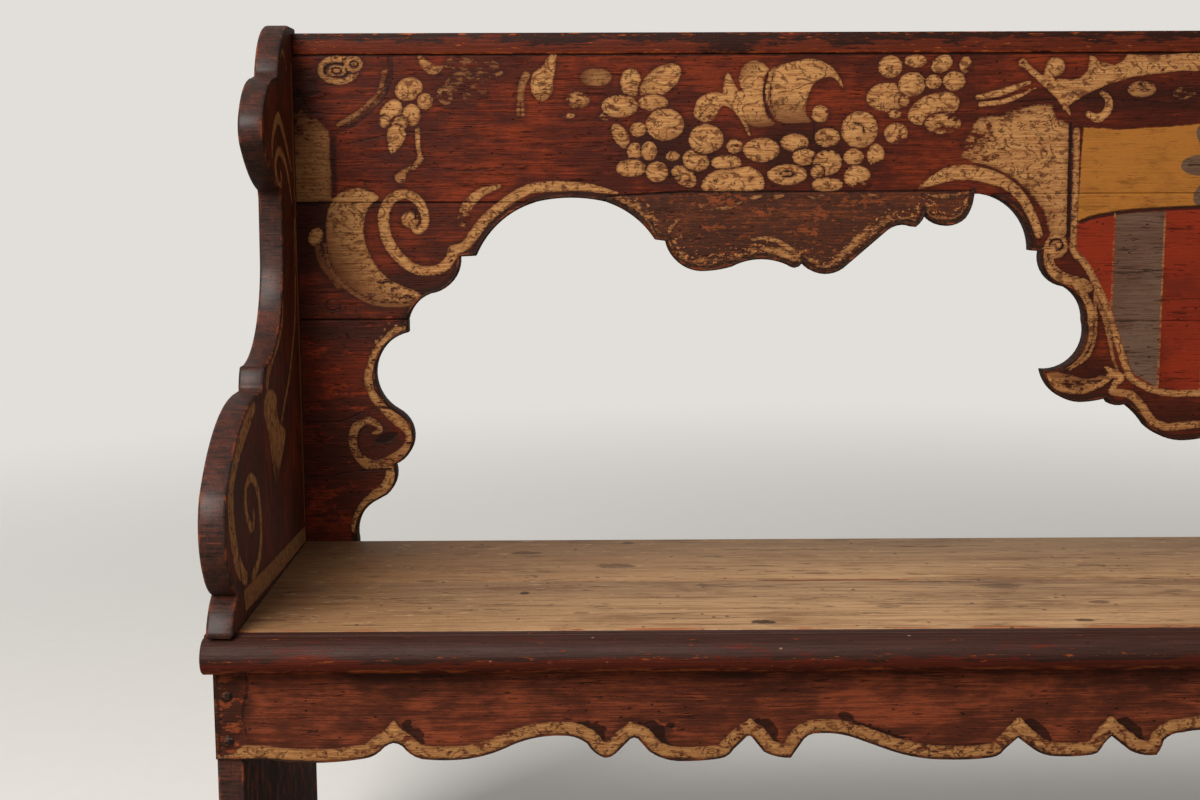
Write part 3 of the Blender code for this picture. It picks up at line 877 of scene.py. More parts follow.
@dataclass(frozen=True)
class Leaf:
    """A filled form whose edge runs smoothly, or from corner to corner, through its knots."""

    knots: tuple[tuple[float, float], ...]
    tone: float = 0.0
    cover: float = 1.0
    fade: tuple[float, float] = (0.0, 0.0)
    shade: tuple[float, float] = (0.0, 0.0)
    halo: float = 0.0
    layer: Layer = Layer.GILT
    cornered: bool = False
    soft: float = 1.0            # how many times wider than a crisp one its edge is

    def edge(self) -> np.ndarray:
        """Draws the form's edge.

        Returns:
            Close points round it, the first one repeated at the end.
        """
        if self.cornered:
            return np.array((*self.knots, self.knots[0]), float)
        return drawn_curve(self.knots, True)

    def box(self) -> tuple[np.ndarray, np.ndarray]:
        """Finds the mark's box.

        Returns:
            Its lowest and highest corner.
        """
        edge = self.edge()
        return edge.min(0), edge.max(0)

    def inside(self, points: np.ndarray) -> np.ndarray:
        """Measures how far inside the form places are.

        Args:
            points: places, one row each.

        Returns:
            Millimetres inside it, negative outside, for each place.
        """
        edge = self.edge()
        away = np.full(len(points), np.inf)
        within = np.zeros(len(points), bool)
        for first, last in zip(edge, edge[1:]):
            away = np.minimum(away, run_distance(points, first, last)[0])
            crosses = (first[1] > points[:, 1]) != (last[1] > points[:, 1])
            rise = last[1] - first[1] or TINY
            at = first[0] + (points[:, 1] - first[1]) / rise * (last[0] - first[0])
            within ^= crosses & (points[:, 0] < at)
        return np.where(within, away, -away) / self.soft


Mark = Oval | Stroke | Leaf


def dark_line(*knots: tuple[float, float, float], cap: float = FAR) -> Stroke:
    """A dark line through (across, up, width) knots, thin and patchy with a low cap."""
    return Stroke(knots, layer=Layer.LINE, cap=cap)


def dark_ring(across: float, up: float, wide: float, tall: float, band: float) -> Oval:
    """A dark ring of a band's width, inside an oval."""
    return Oval(across, up, wide, tall, band=band, layer=Layer.LINE, halo=0)


def plain_ovals(layer: Layer, *rows: Sequence[float]) -> tuple[Oval, ...]:
    """Plain ovals of one layer, from rows of across, up, wide, tall and perhaps a tilt."""
    return tuple(Oval(*row, layer=layer, halo=0) for row in rows)


@dataclass(frozen=True)
class Rim:
    """Gilding that follows a board's own cut edge, with a dark shadow on the right of each peak."""

    width: float
    border: float
    below: float                 # only the edge under this height counts
    ends: tuple[float, float] = (-math.inf, math.inf)   # and between these places across
    tone: float = 0.0
    cover: float = 1.0
    shadow: float = 0.0          # reach of the shadow
    lean: tuple[float, float] = (0.12, 0.67)     # share of the way sideways where it starts and is full
    under: float = 1.0           # how far it runs in under the gilding
    trim: float = 1.5            # how far it stays back from its reach


@dataclass(frozen=True)
class Ornament:
    """The marks on a face, in the order of the brush."""

    marks: tuple[Mark, ...] = ()
    rim: Rim | None = None

    def lay(self, points: np.ndarray, rim_points: np.ndarray) -> dict[str, np.ndarray]:
        """Works out each coat on a face.

        Args:
            points: (across, up) of each point of the face, millimetres.
            rim_points: the same for the face's outline.

        Returns:
            A field for each layer, and the gilding's tone and cover.
        """
        coats = {layer.value: np.full(len(points), -FAR) for layer in Layer}
        coats["tone"] = np.zeros(len(points))
        coats["cover"] = np.ones(len(points))
        for mark in self.marks:
            low, high = mark.box()
            near = np.all((points > low - FAR) & (points < high + FAR), axis=1)
            if near.any():
                self.brush(mark, points[near], near, coats)
        if self.rim:
            self.follow(points, rim_points, coats)
        return {name: np.clip(coat, -FAR, FAR) for name, coat in coats.items()}

    @staticmethod
    def brush(mark: Mark, points: np.ndarray, near: np.ndarray, coats: dict[str, np.ndarray]) -> None:
        """Lays one mark over what is there.

        Args:
            mark: the mark.
            points: the places close to it.
            near: which of the face's points those are.
            coats: the fields, changed in place.
        """
        depth = mark.inside(points)
        coat = coats[mark.layer.value]
        under = np.minimum(coat[near], -depth - mark.halo) if mark.halo else coat[near]
        coat[near] = np.maximum(under, depth)
        if mark.layer is Layer.LINE:
            coats["gilt"][near] = np.minimum(coats["gilt"][near], -depth)
        if mark.layer is not Layer.GILT:
            return
        low, high = mark.box()
        off = (points - (low + high) / 2) / np.maximum((high - low) / 2, TINY)
        on_top = depth >= under
        spots = np.flatnonzero(near)[on_top]
        coats["tone"][spots] = np.clip(mark.tone + np.maximum(off[on_top] @ np.array(mark.shade), 0), 0, 1)
        coats["cover"][spots] = mark.cover - np.maximum(off[on_top] @ np.array(mark.fade), 0)

    def follow(self, points: np.ndarray, rim_points: np.ndarray, coats: dict[str, np.ndarray]) -> None:
        """Lays the gilt rim and its shadows.

        Args:
            points: the face's places.
            rim_points: its outline's places.
            coats: the fields, changed in place.
        """
        edge = rim_points[rim_points[:, 1] < self.rim.below]
        edge = edge[(edge[:, 0] > self.rim.ends[0]) & (edge[:, 0] < self.rim.ends[1])]
        nearest, away = closest(points, edge)
        depth = np.minimum(self.rim.width - away, away - self.rim.border)
        on_top = depth > coats["gilt"]
        coats["gilt"] = np.maximum(coats["gilt"], depth)
        coats["cover"][on_top] = self.rim.cover
        coats["tone"][on_top] = self.rim.tone
        if self.rim.shadow:
            lean = (points - edge[nearest])[:, 0] / np.maximum(away, TINY)
            start, full = self.rim.lean
            reach = self.rim.width + self.rim.shadow * np.clip((lean - start) / (full - start), 0, 1)
            inner = away - self.rim.width + self.rim.under
            shade = np.minimum(inner, reach - self.rim.trim - away)
            coats["line"] = np.maximum(coats["line"], shade)


def closest(points: np.ndarray, others: np.ndarray) -> tuple[np.ndarray, np.ndarray]:
    """Finds the nearest of some places.

    Args:
        points: places to search from.
        others: places to find.

    Returns:
        The number of the nearest one, and its distance, for each point.
    """
    tree = KDTree(len(others))
    for number, place in enumerate(others):
        tree.insert((*place, 0.0), number)
    tree.balance()
    found = [tree.find((*place, 0.0))[1:] for place in points]
    return np.array([row[0] for row in found]), np.array([row[1] for row in found])


@dataclass(frozen=True)
class Joint:
    """A stretch where two boards of the back meet, seen from the front, the same on both halves."""

    near: float                  # from the middle of the bench
    far: float
    low: float
    high: float
    drawn: bool = True           # whether a dark line shows there

    def holds(self, place: Sequence[float]) -> bool:
        """Whether a place lies in the joint."""
        return self.near <= abs(place[0]) < self.far and self.low < place[2] < self.high


@dataclass(frozen=True)
class Layout:
    """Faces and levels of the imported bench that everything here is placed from, in metres."""

    half_inner: float            # middle of the bench to an end board's inner face
    seat: float                  # top of the seat
    seat_front: float            # front edge of the seat boards
    back: float                  # front face of the back
    joints: tuple[Joint, ...]    # where the back's boards meet

    @classmethod
    def from_frame(cls) -> Layout:
        """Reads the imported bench.

        Returns:
            Its layout.
        """
        inner = -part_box("left_end_board")[1].x
        seat_low, seat_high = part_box("seat_front_board")
        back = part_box("back_top_board")[0].y
        return cls(inner, seat_high.z, seat_low.y, back, cls.back_joints())

    @staticmethod
    def back_joints(slack: float = 1.5 * MM) -> tuple[Joint, ...]:
        """Finds where the back's boards meet.

        Args:
            slack: how far from a joint still counts as on it.

        Returns:
            The joints of both halves.
        """
        top_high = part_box("back_top_board")[1]
        stile_low, stile_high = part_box("left_stile_upper_board")
        tail_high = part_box("left_stile_lower_board")[1]
        pendant_low, pendant_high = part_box("left_pendant_board")
        shield_low, shield_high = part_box("shield_upper_board")
        outer, far, near = -stile_low.x + slack, -pendant_low.x, -pendant_high.x

        def level(height: float, start: float, end: float, drawn: bool = True) -> Joint:
            """A level joint."""
            return Joint(start, end, height - slack, height + slack, drawn)

        return (level(top_high.z, 0, outer), level(stile_high.z, -stile_high.x - slack, outer),
                level(stile_low.z, -tail_high.x - slack, outer),
                level(shield_high.z, 0, near + slack, drawn=False),
                level(shield_low.z, 0, near, drawn=False),
                Joint(near + 2 * slack, far + slack, pendant_high.z - 5 * slack, pendant_high.z + slack),
                Joint(far - slack, far + slack, stile_high.z - slack, pendant_high.z, drawn=False),
                Joint(near - slack, near + slack, shield_high.z - slack, pendant_high.z + slack,
                      drawn=False))

    def on_back(self, places: np.ndarray) -> np.ndarray:
        """(across, up) in millimetres on the back, each half seen as the left one."""
        return np.stack([self.half_inner - np.abs(places[:, 0]), places[:, 2] - self.seat], 1) / MM

    def on_end(self, places: np.ndarray) -> np.ndarray:
        """(forward, up) in millimetres on an end board's inner face."""
        return np.stack([self.back - places[:, 1], places[:, 2] - self.seat], 1) / MM

    def on_apron(self, places: np.ndarray) -> np.ndarray:
        """(right, up) in millimetres on the apron, not mirrored."""
        return np.stack([places[:, 0] + self.half_inner, places[:, 2] - self.seat], 1) / MM


def merged_copy(node: str) -> bmesh.types.BMesh:
    """Copies a CAD node's solid and joins its triangles to whole faces.

    Args:
        node: the node's name.

    Returns:
        The copy.
    """
    shape = bmesh.new()
    shape.from_mesh(bpy.data.objects[node].data)
    bmesh.ops.remove_doubles(shape, verts=shape.verts, dist=MERGE)
    bmesh.ops.dissolve_limit(shape, angle_limit=FLAT, verts=shape.verts, edges=shape.edges)
    return shape


def soften(shape: bmesh.types.BMesh, edges: Iterable[bmesh.types.BMEdge], radius: float,
           segments: int) -> None:
    """Rounds edges over, as wear does."""
    bmesh.ops.bevel(shape, geom=list(edges), offset=radius, offset_type="OFFSET", segments=segments,
                    profile=0.5, affect="EDGES", clamp_overlap=False, material=-1)


def show(name: str, shape: bmesh.types.BMesh, node: str,
         material: bpy.types.Material) -> bpy.types.Object:
    """Makes a finished shape a piece of the bench.

    Args:
        name: the piece's name.
        shape: its form, freed here.
        node: the CAD node that it stands for.
        material: its material.

    Returns:
        The piece.
    """
    mesh = bpy.data.meshes.new(name)
    shape.to_mesh(mesh)
    shape.free()
    mesh.materials.clear()
    mesh.materials.append(material)
    mesh.shade_smooth()
    mesh.set_sharp_from_angle(angle=SMOOTH)
    piece = bpy.data.objects.new(name, mesh)
    bpy.context.scene.collection.objects.link(piece)
    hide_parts(node)
    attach(piece, BODY)
    LOG.info("%s: %d faces", name, len(mesh.polygons))
    return piece


def halve(shape: bmesh.types.BMesh, faces: list[bmesh.types.BMFace], axis: int,
          cuts: Sequence[float]) -> list[bmesh.types.BMFace]:
    """Divides faces at every cut, halving them first so that each cut meets few faces.

    Args:
        shape: the mesh.
        faces: the faces to divide.
        axis: 0, 1 or 2, square to the cuts.
        cuts: rising places on that axis.

    Returns:
        The divided faces.
    """
    if not cuts or not faces:
        return faces
    middle = len(cuts) // 2
    square = Vector((axis == 0, axis == 1, axis == 2))
    edges = {edge for face in faces for edge in face.edges}
    verts = {vert for face in faces for vert in face.verts}
    made = bmesh.ops.bisect_plane(shape, geom=[*faces, *edges, *verts], dist=ON_CUT,
                                  plane_co=square * cuts[middle], plane_no=square)
    divided = [item for item in made["geom"] if isinstance(item, bmesh.types.BMFace)]
    below = [face for face in divided if face.calc_center_median()[axis] < cuts[middle]]
    beyond = [face for face in divided if face.calc_center_median()[axis] >= cuts[middle]]
    return halve(shape, below, axis, cuts[:middle]) + halve(shape, beyond, axis, cuts[middle + 1:])


def steps_between(low: float, high: float, pitch: float) -> list[float]:
    """Evenly spaced cuts between two places."""
    count = max(1, round((high - low) / pitch))
    return [low + (high - low) * index / count for index in range(1, count)]


@dataclass
class Plank:
    """A painted board: softened arrises and a finely divided face that keeps its ornament."""

    node: str
    facing: Vector               # out of the painted face
    finish: bpy.types.Material
    pitch: float                 # size of a cell of the painted face, metres
    arris: float                 # radius of the arrises, metres
    ornament: Ornament = field(default_factory=Ornament)
    slot: str = "red_paint"
    floor: float = -math.inf     # the face is divided above this height only
    joints: tuple[Joint, ...] = ()   # where it meets other boards, with arrises that stay sharp
    bare_rear: bool = True       # whether the face away from the ornament is left unpainted
    shortest: float = 2 * MM     # shorter edges stay sharp
    front: float = field(init=False)     # levels of both faces, along the way it faces
    behind: float = field(init=False)

    def build(self, project: Projection) -> bpy.types.Object:
        """Models the board and lays its paint.

        Args:
            project: the layout's method that gives ornament places.

        Returns:
            The piece.
        """
        shape = merged_copy(self.node)
        levels = [vert.co @ self.facing for vert in shape.verts]
        self.front, self.behind = max(levels), min(levels)
        soften(shape, [edge for edge in shape.edges if self.is_arris(edge)], self.arris, segments=3)
        middle = self.facing * ((self.front + self.behind) / 2)
        bmesh.ops.bisect_plane(shape, geom=[*shape.verts, *shape.edges, *shape.faces], dist=ON_CUT,
                               plane_co=middle, plane_no=self.facing)
        self.divide(shape)
        outline = [vert.co.copy() for vert in shape.verts if self.on_rim(vert)]
        piece = show(self.node + "_painted", shape, self.node, self.finish)
        self.paint(piece.data, np.array(outline), project)
        return piece

    def level(self, vert: bmesh.types.BMVert) -> float:
        """Height of a point above the painted face, zero on it and negative behind it."""
        return vert.co @ self.facing - self.front

    def is_arris(self, edge: bmesh.types.BMEdge) -> bool:
        """Tells whether an edge belongs to the board's outline, front or rear, and is free.

        Args:
            edge: an edge of the board.

        Returns:
            Whether it gets rounded.
        """
        thick = self.behind - self.front
        depths = [self.level(vert) for vert in edge.verts]
        on_front = max(map(abs, depths)) < MERGE
        on_rear = max(abs(depth - thick) for depth in depths) < MERGE
        if not (on_front or on_rear) or len(edge.link_faces) != 2 or edge.calc_face_angle() < TURNED:
            return False
        if any(all(joint.holds(vert.co) for vert in edge.verts) for joint in self.joints):
            return False
        for face in edge.link_faces:
            spans = [self.level(vert) for vert in face.verts]
            if max(spans) > -MERGE and min(spans) < thick + MERGE:
                return edge.calc_length() > self.shortest
        return False

    def is_painted(self, face: bmesh.types.BMFace) -> bool:
        """Whether a face lies in the painted plane."""
        return all(abs(self.level(vert)) < MERGE for vert in face.verts)

    def on_rim(self, vert: bmesh.types.BMVert) -> bool:
        """Tells whether a point is on the outline of the painted face.

        Args:
            vert: a point of the board.

        Returns:
            Whether it is.
        """
        if abs(self.level(vert)) > MERGE:
            return False
        return not all(self.is_painted(face) for face in vert.link_faces)

    def divide(self, shape: bmesh.types.BMesh) -> None:
        """Cuts the painted face into small cells.

        Args:
            shape: the board, changed in place.
        """
        faces = [face for face in shape.faces if self.is_painted(face)]
        faces = [face for face in faces if max(vert.co.z for vert in face.verts) > self.floor]
        axes = [axis for axis in (2, 1, 0) if abs(self.facing[axis]) < 0.5]
        for axis in axes:
            places = [vert.co[axis] for face in faces for vert in face.verts]
            low = max(min(places), self.floor) if axis == 2 else min(places)
            faces = halve(shape, faces, axis, steps_between(low, max(places), self.pitch))

    def paint(self, mesh: bpy.types.Mesh, outline: np.ndarray, project: Projection) -> None:
        """Keeps the ornament's coats, the distance from the arris and the bare rear on the mesh's points.

        Args:
            mesh: the finished mesh.
            outline: points on the painted face's outline.
            project: gives ornament places.
        """
        places = np.zeros(len(mesh.vertices) * 3, np.float32)
        mesh.vertices.foreach_get("co", places)
        places = places.reshape(-1, 3).astype(float)
        depth = places @ np.array(self.facing) - self.front
        thick = self.front - self.behind
        painted = np.flatnonzero(np.abs(depth) < MERGE)
        joined = np.array([any(joint.holds(place) for joint in self.joints) for place in outline])
        drawn = np.array([any(joint.drawn and joint.holds(place) for joint in self.joints)
                          for place in outline])
        rim_points = project(outline[~joined])
        points = project(places[painted])
        fields = {layer.value: np.full(len(places), -FAR) for layer in Layer}
        fields |= {"tone": np.zeros(len(places)), "cover": np.ones(len(places))}
        coats = self.ornament.lay(points, rim_points)
        if drawn.any():
            coats["line"] = np.maximum(coats["line"], SEAM_LINE - closest(points, project(outline[drawn]))[1])
        for name, coat in coats.items():
            fields[name][painted] = coat
        edge = -np.minimum(-depth, depth + thick) / MM
        edge[painted] = closest(points, rim_points)[1]
        rear = depth < -thick + MERGE
        edge[rear] = np.abs(edge[rear]) + FAR
        fields["edge"] = edge
        fields["rear"] = rear.astype(float) * self.bare_rear
        for name, values in fields.items():
            mesh.attributes.new(name, "FLOAT", "POINT").data.foreach_set("value", values.astype(np.float32))


def rosette(across: float, up: float, petals: int) -> tuple[Mark, ...]:
    """A flower of round petals, each with a dark vein, about a gilt eye.

    Args:
        across: its middle.
        up: its middle.
        petals: how many it has.

    Returns:
        Its marks.
    """
    ways = [math.tau * petal / petals for petal in range(petals)]

    def out(way: float, reach: float) -> tuple[float, float]:
        """A place at a distance from the middle."""
        return across + reach * math.cos(way), up + reach * math.sin(way)

    leaves = [Oval(*out(way, 44), 24, 13, math.degrees(way), layer=Layer.TAUPE, halo=3) for way in ways]
    veins = [dark_line((*out(way, 30), 2), (*out(way, 58), 3)) for way in ways]
    return (*leaves, *veins, Oval(across, up, 16, 16, tone=0.3, halo=0), dark_ring(across, up, 19, 19, 4))


FRUIT = (
    Oval(424, 587, 13, 18), Oval(461, 589, 30, 16, 35, shade=(-0.5, 0.3)), Oval(452, 562, 19, 10),
    Oval(410, 558, 23, 14, cover=0.8), Oval(467, 535, 24, 20), Oval(411, 521, 9, 17, 30),
    Oval(433, 529, 10, 9), Oval(429, 501, 10, 12), Oval(447, 502, 10, 12), Oval(424, 481, 19, 11),
    Oval(457, 476, 14, 13), Oval(477, 496, 9, 6), Oval(491, 470, 18, 11, -35, fade=(-0.7, -0.7)),
    Oval(506, 490, 17, 13, -20), Oval(519, 517, 22, 18), Oval(555, 508, 10, 9), Oval(589, 503, 23, 15),
    Oval(545, 487, 19, 10),
    Leaf(((514, 454), (516, 466), (530, 477), (552, 479), (574, 482), (590, 472), (592, 455), (575, 452),
          (552, 452), (530, 452)), halo=HALO),
    Oval(622, 472, 25, 13), dark_ring(622, 473, 10, 4.5, 2.6), Oval(631, 512, 18, 11),
    Oval(644, 494, 16, 10), Oval(672, 518, 16, 12, fade=(0.2, -0.6)), Oval(673, 487, 18, 16),
    Oval(660, 475, 8, 9), Oval(673, 459, 20, 9), Oval(713, 528, 23, 23),
    dark_line((706, 536, 3), (716, 533, 3), (719, 524, 3)), Oval(706, 494, 13, 10),
    Oval(734, 496, 11, 14, fade=(0.4, -0.7)), Oval(711, 469, 17, 14, fade=(0.6, -0.7)),
    Oval(747, 568, 26, 18, cover=0.86), Oval(750, 606, 15, 14), Oval(782, 613, 14, 8),
    Oval(778, 584, 17, 15, cover=0.9), Oval(769, 563, 6, 6), Oval(815, 609, 14, 10, 30),
    Oval(845, 608, 8, 10, fade=(0.8, -0.5)), Oval(805, 587, 10, 9),
    Oval(831, 588, 14, 12, shade=(0.3, -0.4)), Oval(806, 554, 34, 18, 20, cover=0.86),
    Oval(818, 535, 23, 13, cover=0.62), Oval(759, 523, 15, 13, fade=(0.3, -0.7)),
    Oval(757, 547, 8, 5, cover=0.8),
)
HORN = (
    Leaf(((545, 599), (553, 588), (559, 575), (553, 565), (545, 567), (540, 580))),
    Oval(580, 592, 20, 22, shade=(-0.3, 0.5)),
    Leaf(((547, 572), (566, 577), (592, 574), (594, 548), (606, 535), (579, 532), (561, 546), (551, 561)),
         shade=(0.2, -0.8)),
    Stroke(((510, 553, 12), (521, 560, 26), (540, 566, 16), (556, 558, 12), (566, 540, 6), (574, 521, 2))),
    Oval(518, 551, 15, 13, halo=0),
    Leaf(((592, 588), (601, 603), (622, 611), (651, 616), (673, 608), (686, 594), (691, 579), (680, 592),
          (664, 592), (653, 583), (646, 566), (645, 548), (651, 538), (631, 536), (612, 538), (602, 548),
          (595, 566)), halo=1.6, shade=(0.0, -0.85)),
    dark_line((597, 600, 2.4), (592, 580, 3), (593, 560, 3), (602, 540, 2.4)),
    dark_line((604, 600, 1.4), (600, 580, 1.8), (600, 562, 1.8), (607, 545, 1.4)),
    Oval(663, 548, 11, 11, fade=(0.7, 0.1)), dark_line((676, 500, 1.6), (657, 512, 2.4), (656, 535, 2.4)),
)
CORNER = (
    Oval(57, 604, 26, 18, cover=0.8, shade=(-0.4, -0.2)), dark_ring(55, 603, 17, 11, 4),
    dark_ring(55, 603, 7, 5, 2.4), Oval(76, 611, 12, 10, cover=0.78),
    Stroke(((40, 610, 2), (50, 617, 4), (64, 618, 3)), cover=0.8),
    Stroke(((42, 597, 2), (52, 592, 4), (66, 594, 2)), cover=0.7), dark_ring(77, 611, 6, 5, 2.2),
    Stroke(((117, 614, 8), (115, 593, 10), (109, 574, 10), (97, 562, 10), (86, 552, 10), (69, 542, 9),
            (55, 536, 5)), tone=0.5, cover=0.86, fade=(0.2, 0.6)),
    Leaf(((-6, 566), (22, 550), (43, 528), (44, 440), (-6, 440)), tone=0.5, cover=0.94, fade=(-0.15, 0.6),
         shade=(-0.25, 0.4), cornered=True, soft=2.2),
    dark_line((123, 622, 8), (122, 596, 9), (115, 576, 9), (103, 562, 9), (88, 548, 9), (69, 535, 9),
              (50, 526, 8), cap=0.25),
    dark_line((48, 526, 8), (48, 490, 8), (48, 455, 8), cap=0.3),
    Stroke(((160, 619, 7), (166, 610, 12), (176, 604, 12), (186, 606, 4)), tone=0.2, cover=0.66),
    Stroke(((186, 608, 3), (200, 608, 3.5), (214, 612, 3), (226, 616, 2)), tone=0.3, cover=0.7),
    Stroke(((208, 600, 3), (226, 596, 5), (244, 594, 6), (262, 600, 4)), tone=0.5, cover=0.5),
    Oval(190, 572, 10, 12, 20, band=6, cover=0.5, tone=0.25),
    *(Oval(across, up, wide, 10, tilt, tone=0.7, cover=0.5, halo=0)
      for across, up, wide, tilt in ((216, 609, 24, -15), (203, 588, 15, 40), (229, 584, 17, -40),
                                     (243, 604, 17, 20), (222, 572, 12, 80))),
)
BUNCH = (
    Oval(145, 580, 18, 14, 20), Oval(165, 565, 10, 10), Oval(122, 552, 12, 17, -38), Oval(113, 540, 7, 7),
    Oval(148, 548, 11, 14), Oval(133, 538, 10, 8),
    Leaf(((118, 530), (130, 536), (140, 526), (136, 514), (122, 500), (117, 514)), halo=1.8),
    Stroke(((155, 530, 6), (155, 515, 6), (156, 503, 5), (158, 494, 4))),
    Stroke(((158, 494, 8), (150, 484, 6), (138, 478, 5), (132, 470, 14)), cover=0.62, tone=0.3),
    Oval(312, 585, 14, 20), Stroke(((315, 590, 22), (321, 606, 16), (327, 621, 8))),
    Stroke(((292, 596, 10), (287, 584, 9), (285, 568, 9)), tone=0.5, cover=0.72),
    *(Oval(282 + 6 * (row % 2), 560 - 6 * (row // 2), 2.6, 2.2, cover=0.8, tone=0.2, halo=0)
      for row in range(6)),
    Oval(380, 594, 20, 11, tone=0.55, cover=0.85, shade=(-0.4, 0.0)),
    Oval(357, 566, 15, 10, cover=0.7, tone=0.2), Oval(392, 545, 8, 5, cover=0.5, halo=0),
    Oval(345, 547, 9, 4, cover=0.4, halo=0),
)
LEFT_SCROLL = (
    Leaf(((73, 457), (92, 453), (104, 445), (94, 436), (86, 421), (84, 398), (89, 378), (102, 354),
          (122, 337), (155, 322), (127, 311), (96, 315), (71, 328), (50, 346), (39, 373), (36, 402),
          (39, 428), (50, 447)), tone=0.02, shade=(-0.8, -0.7), fade=(0.1, -0.35)),
    Stroke(((33, 387, 3), (42, 352, 4), (65, 327, 5), (98, 310, 5), (137, 309, 4), (156, 320, 3)),
           tone=0.72, cover=0.8),
    Oval(143, 417, 11, 10, halo=0),
    Stroke(((146, 408, 6), (153, 403, 9), (162, 411, 10), (161, 428, 11), (152, 443, 12), (137, 449, 12),
            (121, 444, 13), (111, 428, 14), (110, 409, 14), (115, 389, 14), (127, 371, 14), (142, 358, 13),
            (160, 352, 13), (178, 354, 13), (190, 362, 13), (197, 374, 13))),
    dark_line((151, 418, 3.5), (150, 428, 3.5), (143, 431, 2.5)),
    Stroke(((196, 378, 12), (214, 385, 12), (225, 399, 13), (237, 415, 13), (258, 433, 13), (290, 453, 13),
            (319, 458, 13), (349, 458, 12), (380, 455, 9), (407, 449, 3)), tone=0.1),
    Stroke(((208, 411, 14), (215, 432, 14), (232, 450, 11), (257, 459, 5)), fade=(-0.6, -0.3), tone=0.1),
    Oval(23, 396, 9, 12, -25),
    Stroke(((24, 386, 7), (30, 364, 10), (50, 333, 8)), tone=0.9, cover=0.7),
)
CREST = (
    Oval(917, 610, 5.5, 5.5, band=2.8, halo=0),
    Stroke(((920, 607, 7), (941, 590, 9), (960, 574, 11), (972, 557, 6), (979, 545, 2))),
    Oval(958, 605, 12, 12), Stroke(((948, 603, 6), (949, 592, 9), (957, 583, 12))),
    Leaf(((960, 590), (988, 590), (999, 600), (1001, 620), (1016, 611), (1032, 607), (1042, 611),
          (1048, 620), (1082, 619), (1120, 621), (1192, 621), (1192, 600), (1148, 600), (1112, 599),
          (1082, 596), (1054, 592), (1024, 583), (996, 570), (978, 558), (970, 551)), tone=0.1,
         cornered=True),
    Stroke(((1018, 572, 6), (1026, 565, 9), (1026, 551, 10), (1014, 541, 10), (1002, 546, 8))),
    Oval(1068, 577, 18, 10, tone=0.35, cover=0.62), Oval(1122, 572, 15, 8, tone=0.3, cover=0.4),
    Stroke(((861, 568, 6), (880, 571, 8), (901, 577, 8), (926, 586, 4))),
    Stroke(((865, 559, 6), (885, 561, 6), (905, 566, 6), (934, 579, 2))),
)
SPANDREL = (
    Leaf(((862, 542), (890, 545), (915, 552), (935, 558), (956, 558), (960, 540), (979, 532), (984, 392),
          (960, 394), (952, 420), (935, 446), (912, 464), (890, 476), (866, 484), (842, 492), (848, 515)),
         tone=0.12, shade=(0.0, -0.16), fade=(-0.6, -0.1), cornered=True, soft=3),
    Stroke(((790, 455, 3), (806, 463, 12), (828, 472, 18), (852, 474, 19), (880, 468, 17), (905, 457, 14),
            (924, 438, 12), (938, 412, 11), (944, 396, 10)), tone=0.06, halo=3.5),
    dark_line((980, 534, 4.5), (981, 460, 5), (982, 392, 5)),
    Stroke(((988, 526, 8), (989, 460, 8), (989, 394, 8), (990, 374, 9), (1003, 360, 9), (1017, 338, 9),
            (1035, 302, 9), (1049, 263, 9), (1058, 238, 9), (1069, 212, 9), (1085, 201, 9), (1102, 194, 9),
            (1122, 190, 9), (1156, 190, 9), (1200, 190, 9)), tone=0.2),
)
